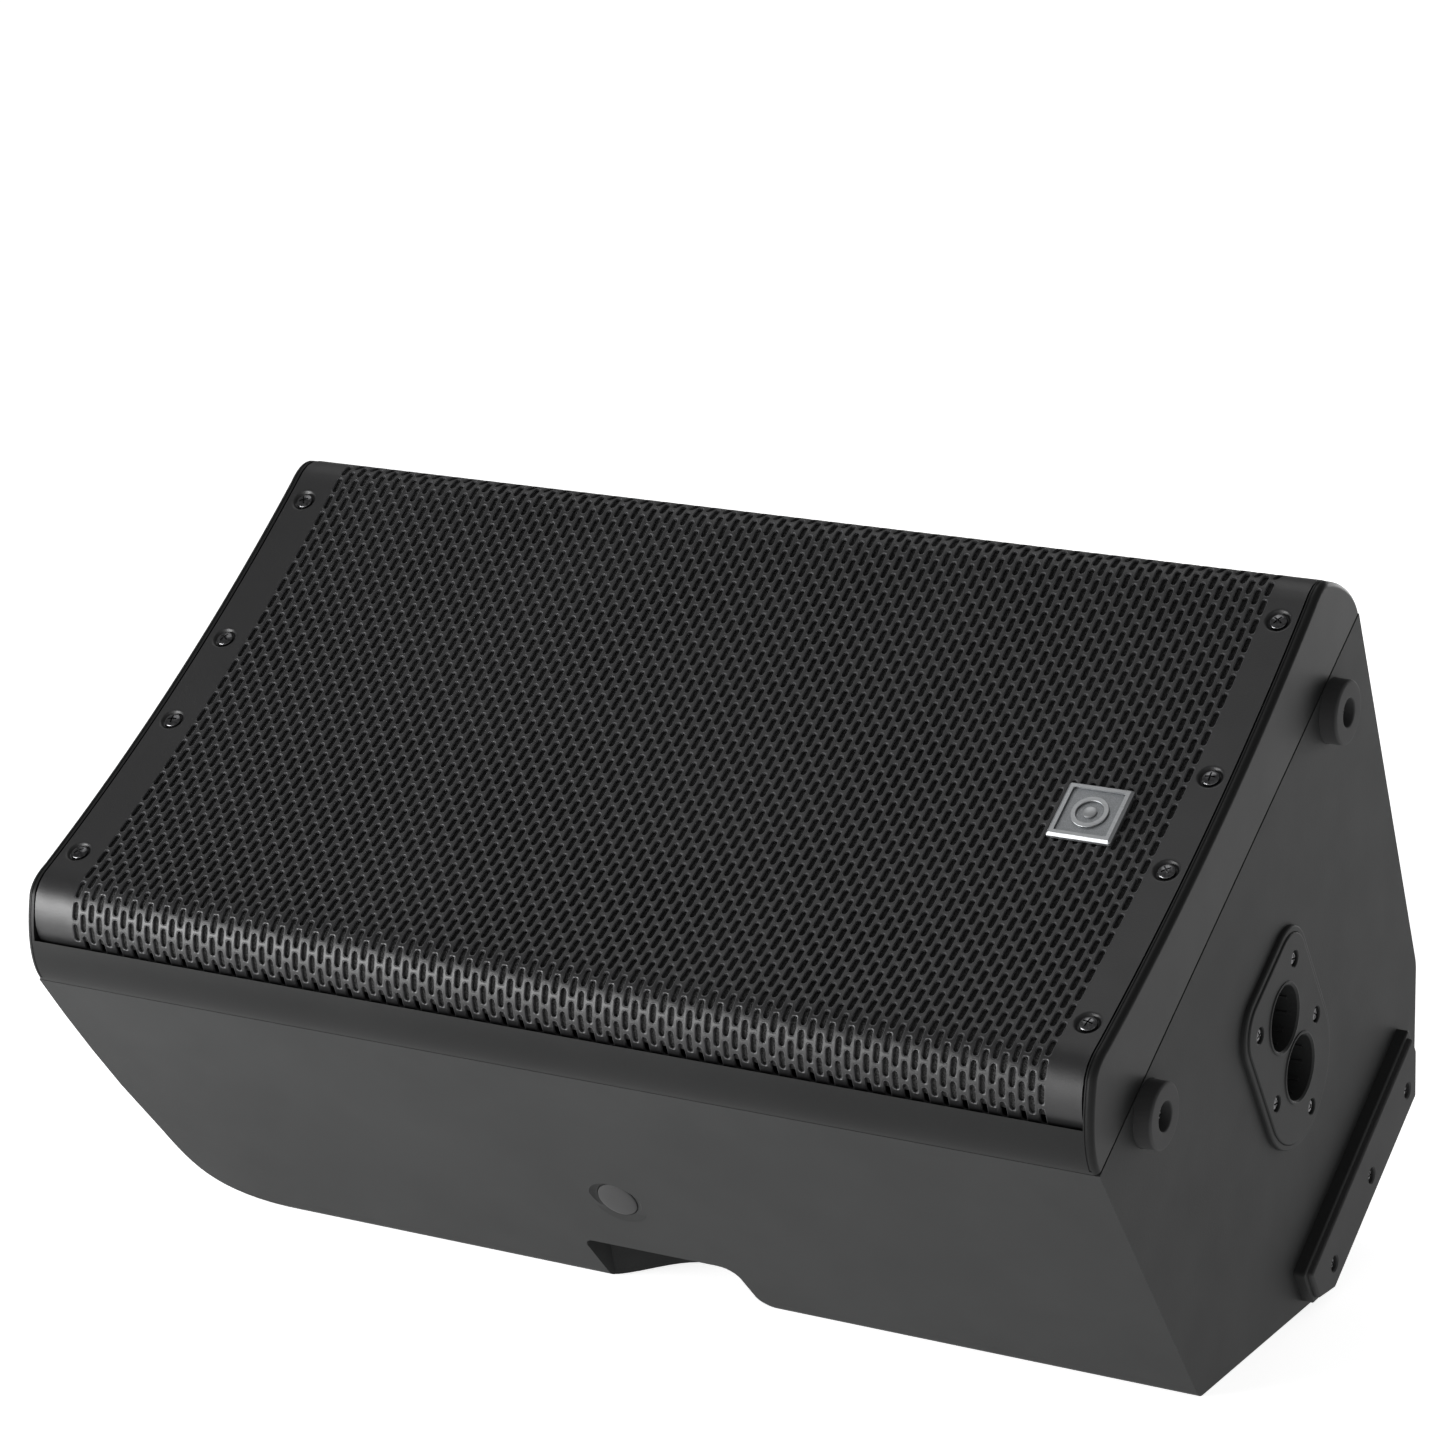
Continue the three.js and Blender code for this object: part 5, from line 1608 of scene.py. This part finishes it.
@dataclass
class Studio:
    """The camera, the pale floor and soft lights."""

    camera_at: tuple[float, float, float] = (1.26377, -2.26527, 1.01330)
    looks_along: tuple[float, float, float] = (-0.47311, 0.84131, -0.26149)
    camera_up: tuple[float, float, float] = (-0.12471, 0.22986, 0.96520)
    lens: float = 119.7
    floor_side: float = 60.0
    floor_glow: float = 0.8  # a light table, so that the floor stays pale round the dark cabinet
    air: float = 0.28

    def camera(self) -> None:
        """Makes the camera."""
        data = bpy.data.cameras.new("camera")
        data.lens = self.lens
        data.sensor_width = 36.0
        camera = bpy.data.objects.new("camera", data)
        bpy.context.scene.collection.objects.link(camera)
        back = -Vector(self.looks_along).normalized()
        right = Vector(self.camera_up).cross(back).normalized()
        turn = Matrix((right, back.cross(right), back)).transposed()
        camera.matrix_world = Matrix.Translation(self.camera_at) @ turn.to_4x4()
        bpy.context.scene.camera = camera

    def floor(self) -> None:
        """Makes the floor."""
        half = self.floor_side / 2
        mesh = bpy.data.meshes.new("floor")
        corners = [(-half, -half, 0), (half, -half, 0), (half, half, 0), (-half, half, 0)]
        mesh.from_pydata(corners, [], [(0, 1, 2, 3)])
        shader = Shader("pale_floor")
        shader.surface.inputs["Base Color"].default_value = (0.86, 0.86, 0.86, 1)
        shader.surface.inputs["Roughness"].default_value = 0.9
        shader.surface.inputs["Specular IOR Level"].default_value = 0.1
        shader.surface.inputs["Emission Color"].default_value = (1, 1, 1, 1)
        shader.surface.inputs["Emission Strength"].default_value = self.floor_glow
        mesh.materials.append(shader.material)
        thing = bpy.data.objects.new("floor", mesh)
        bpy.context.scene.collection.objects.link(thing)

    def light(self, name: str, place: tuple[float, float, float], wide: float, high: float,
              watts: float) -> None:
        """Makes one soft oblong light that shines at the middle of the cabinet.

        Args:
            name: Name of the light.
            place: Where it stands, in metres.
            wide: Its width in metres.
            high: Its height in metres.
            watts: Its power.
        """
        data = bpy.data.lights.new(name, "AREA")
        data.shape = "RECTANGLE"
        data.size = wide
        data.size_y = high
        data.energy = watts
        lamp = bpy.data.objects.new(name, data)
        bpy.context.scene.collection.objects.link(lamp)
        lamp.visible_camera = False
        lamp.location = place
        lamp.rotation_mode = "QUATERNION"
        lamp.rotation_quaternion = (Vector(place) - Vector((0, 0, 0.2))).to_track_quat("Z", "Y")

    def build(self) -> None:
        """Makes the whole studio."""
        self.camera()
        self.floor()
        self.light("key_light", (-1.1, -1.4, 0.28), 1.1, 0.5, 44.0)
        self.light("top_light", (-0.9, 0.9, 2.8), 1.6, 1.6, 14.0)
        self.light("end_light", (2.4, -0.9, 0.7), 1.2, 1.2, 2.2)
        self.light("back_light", (0.4, 2.6, 0.4), 1.4, 0.7, 16.0)
        world = bpy.data.worlds.new("studio_air")
        world.use_nodes = True
        world.node_tree.nodes["Background"].inputs["Color"].default_value = (1, 1, 1, 1)
        world.node_tree.nodes["Background"].inputs["Strength"].default_value = self.air
        bpy.context.scene.world = world
        bpy.context.scene.view_settings.view_transform = "Standard"


def main() -> None:
    """Builds the studio and every sub-assembly."""
    logging.basicConfig(level=logging.INFO, format="%(name)s: %(message)s")
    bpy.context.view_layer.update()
    Studio().build()
    assemblies = (
        FrontFrame(), PunchedGrille(), GrilleFoam(), Badge(), GrilleScrews(), RearShell(), TopGrip(),
        SidePlug(-1), SidePlug(1), PoleMount(), RoundFoot("near", -FOOT_Y), RoundFoot("far", FOOT_Y),
        FootStrip(), AmplifierPanel(), Interior(),
    )
    for assembly in assemblies:
        assembly.build()


if __name__ == "__main__":
    main()
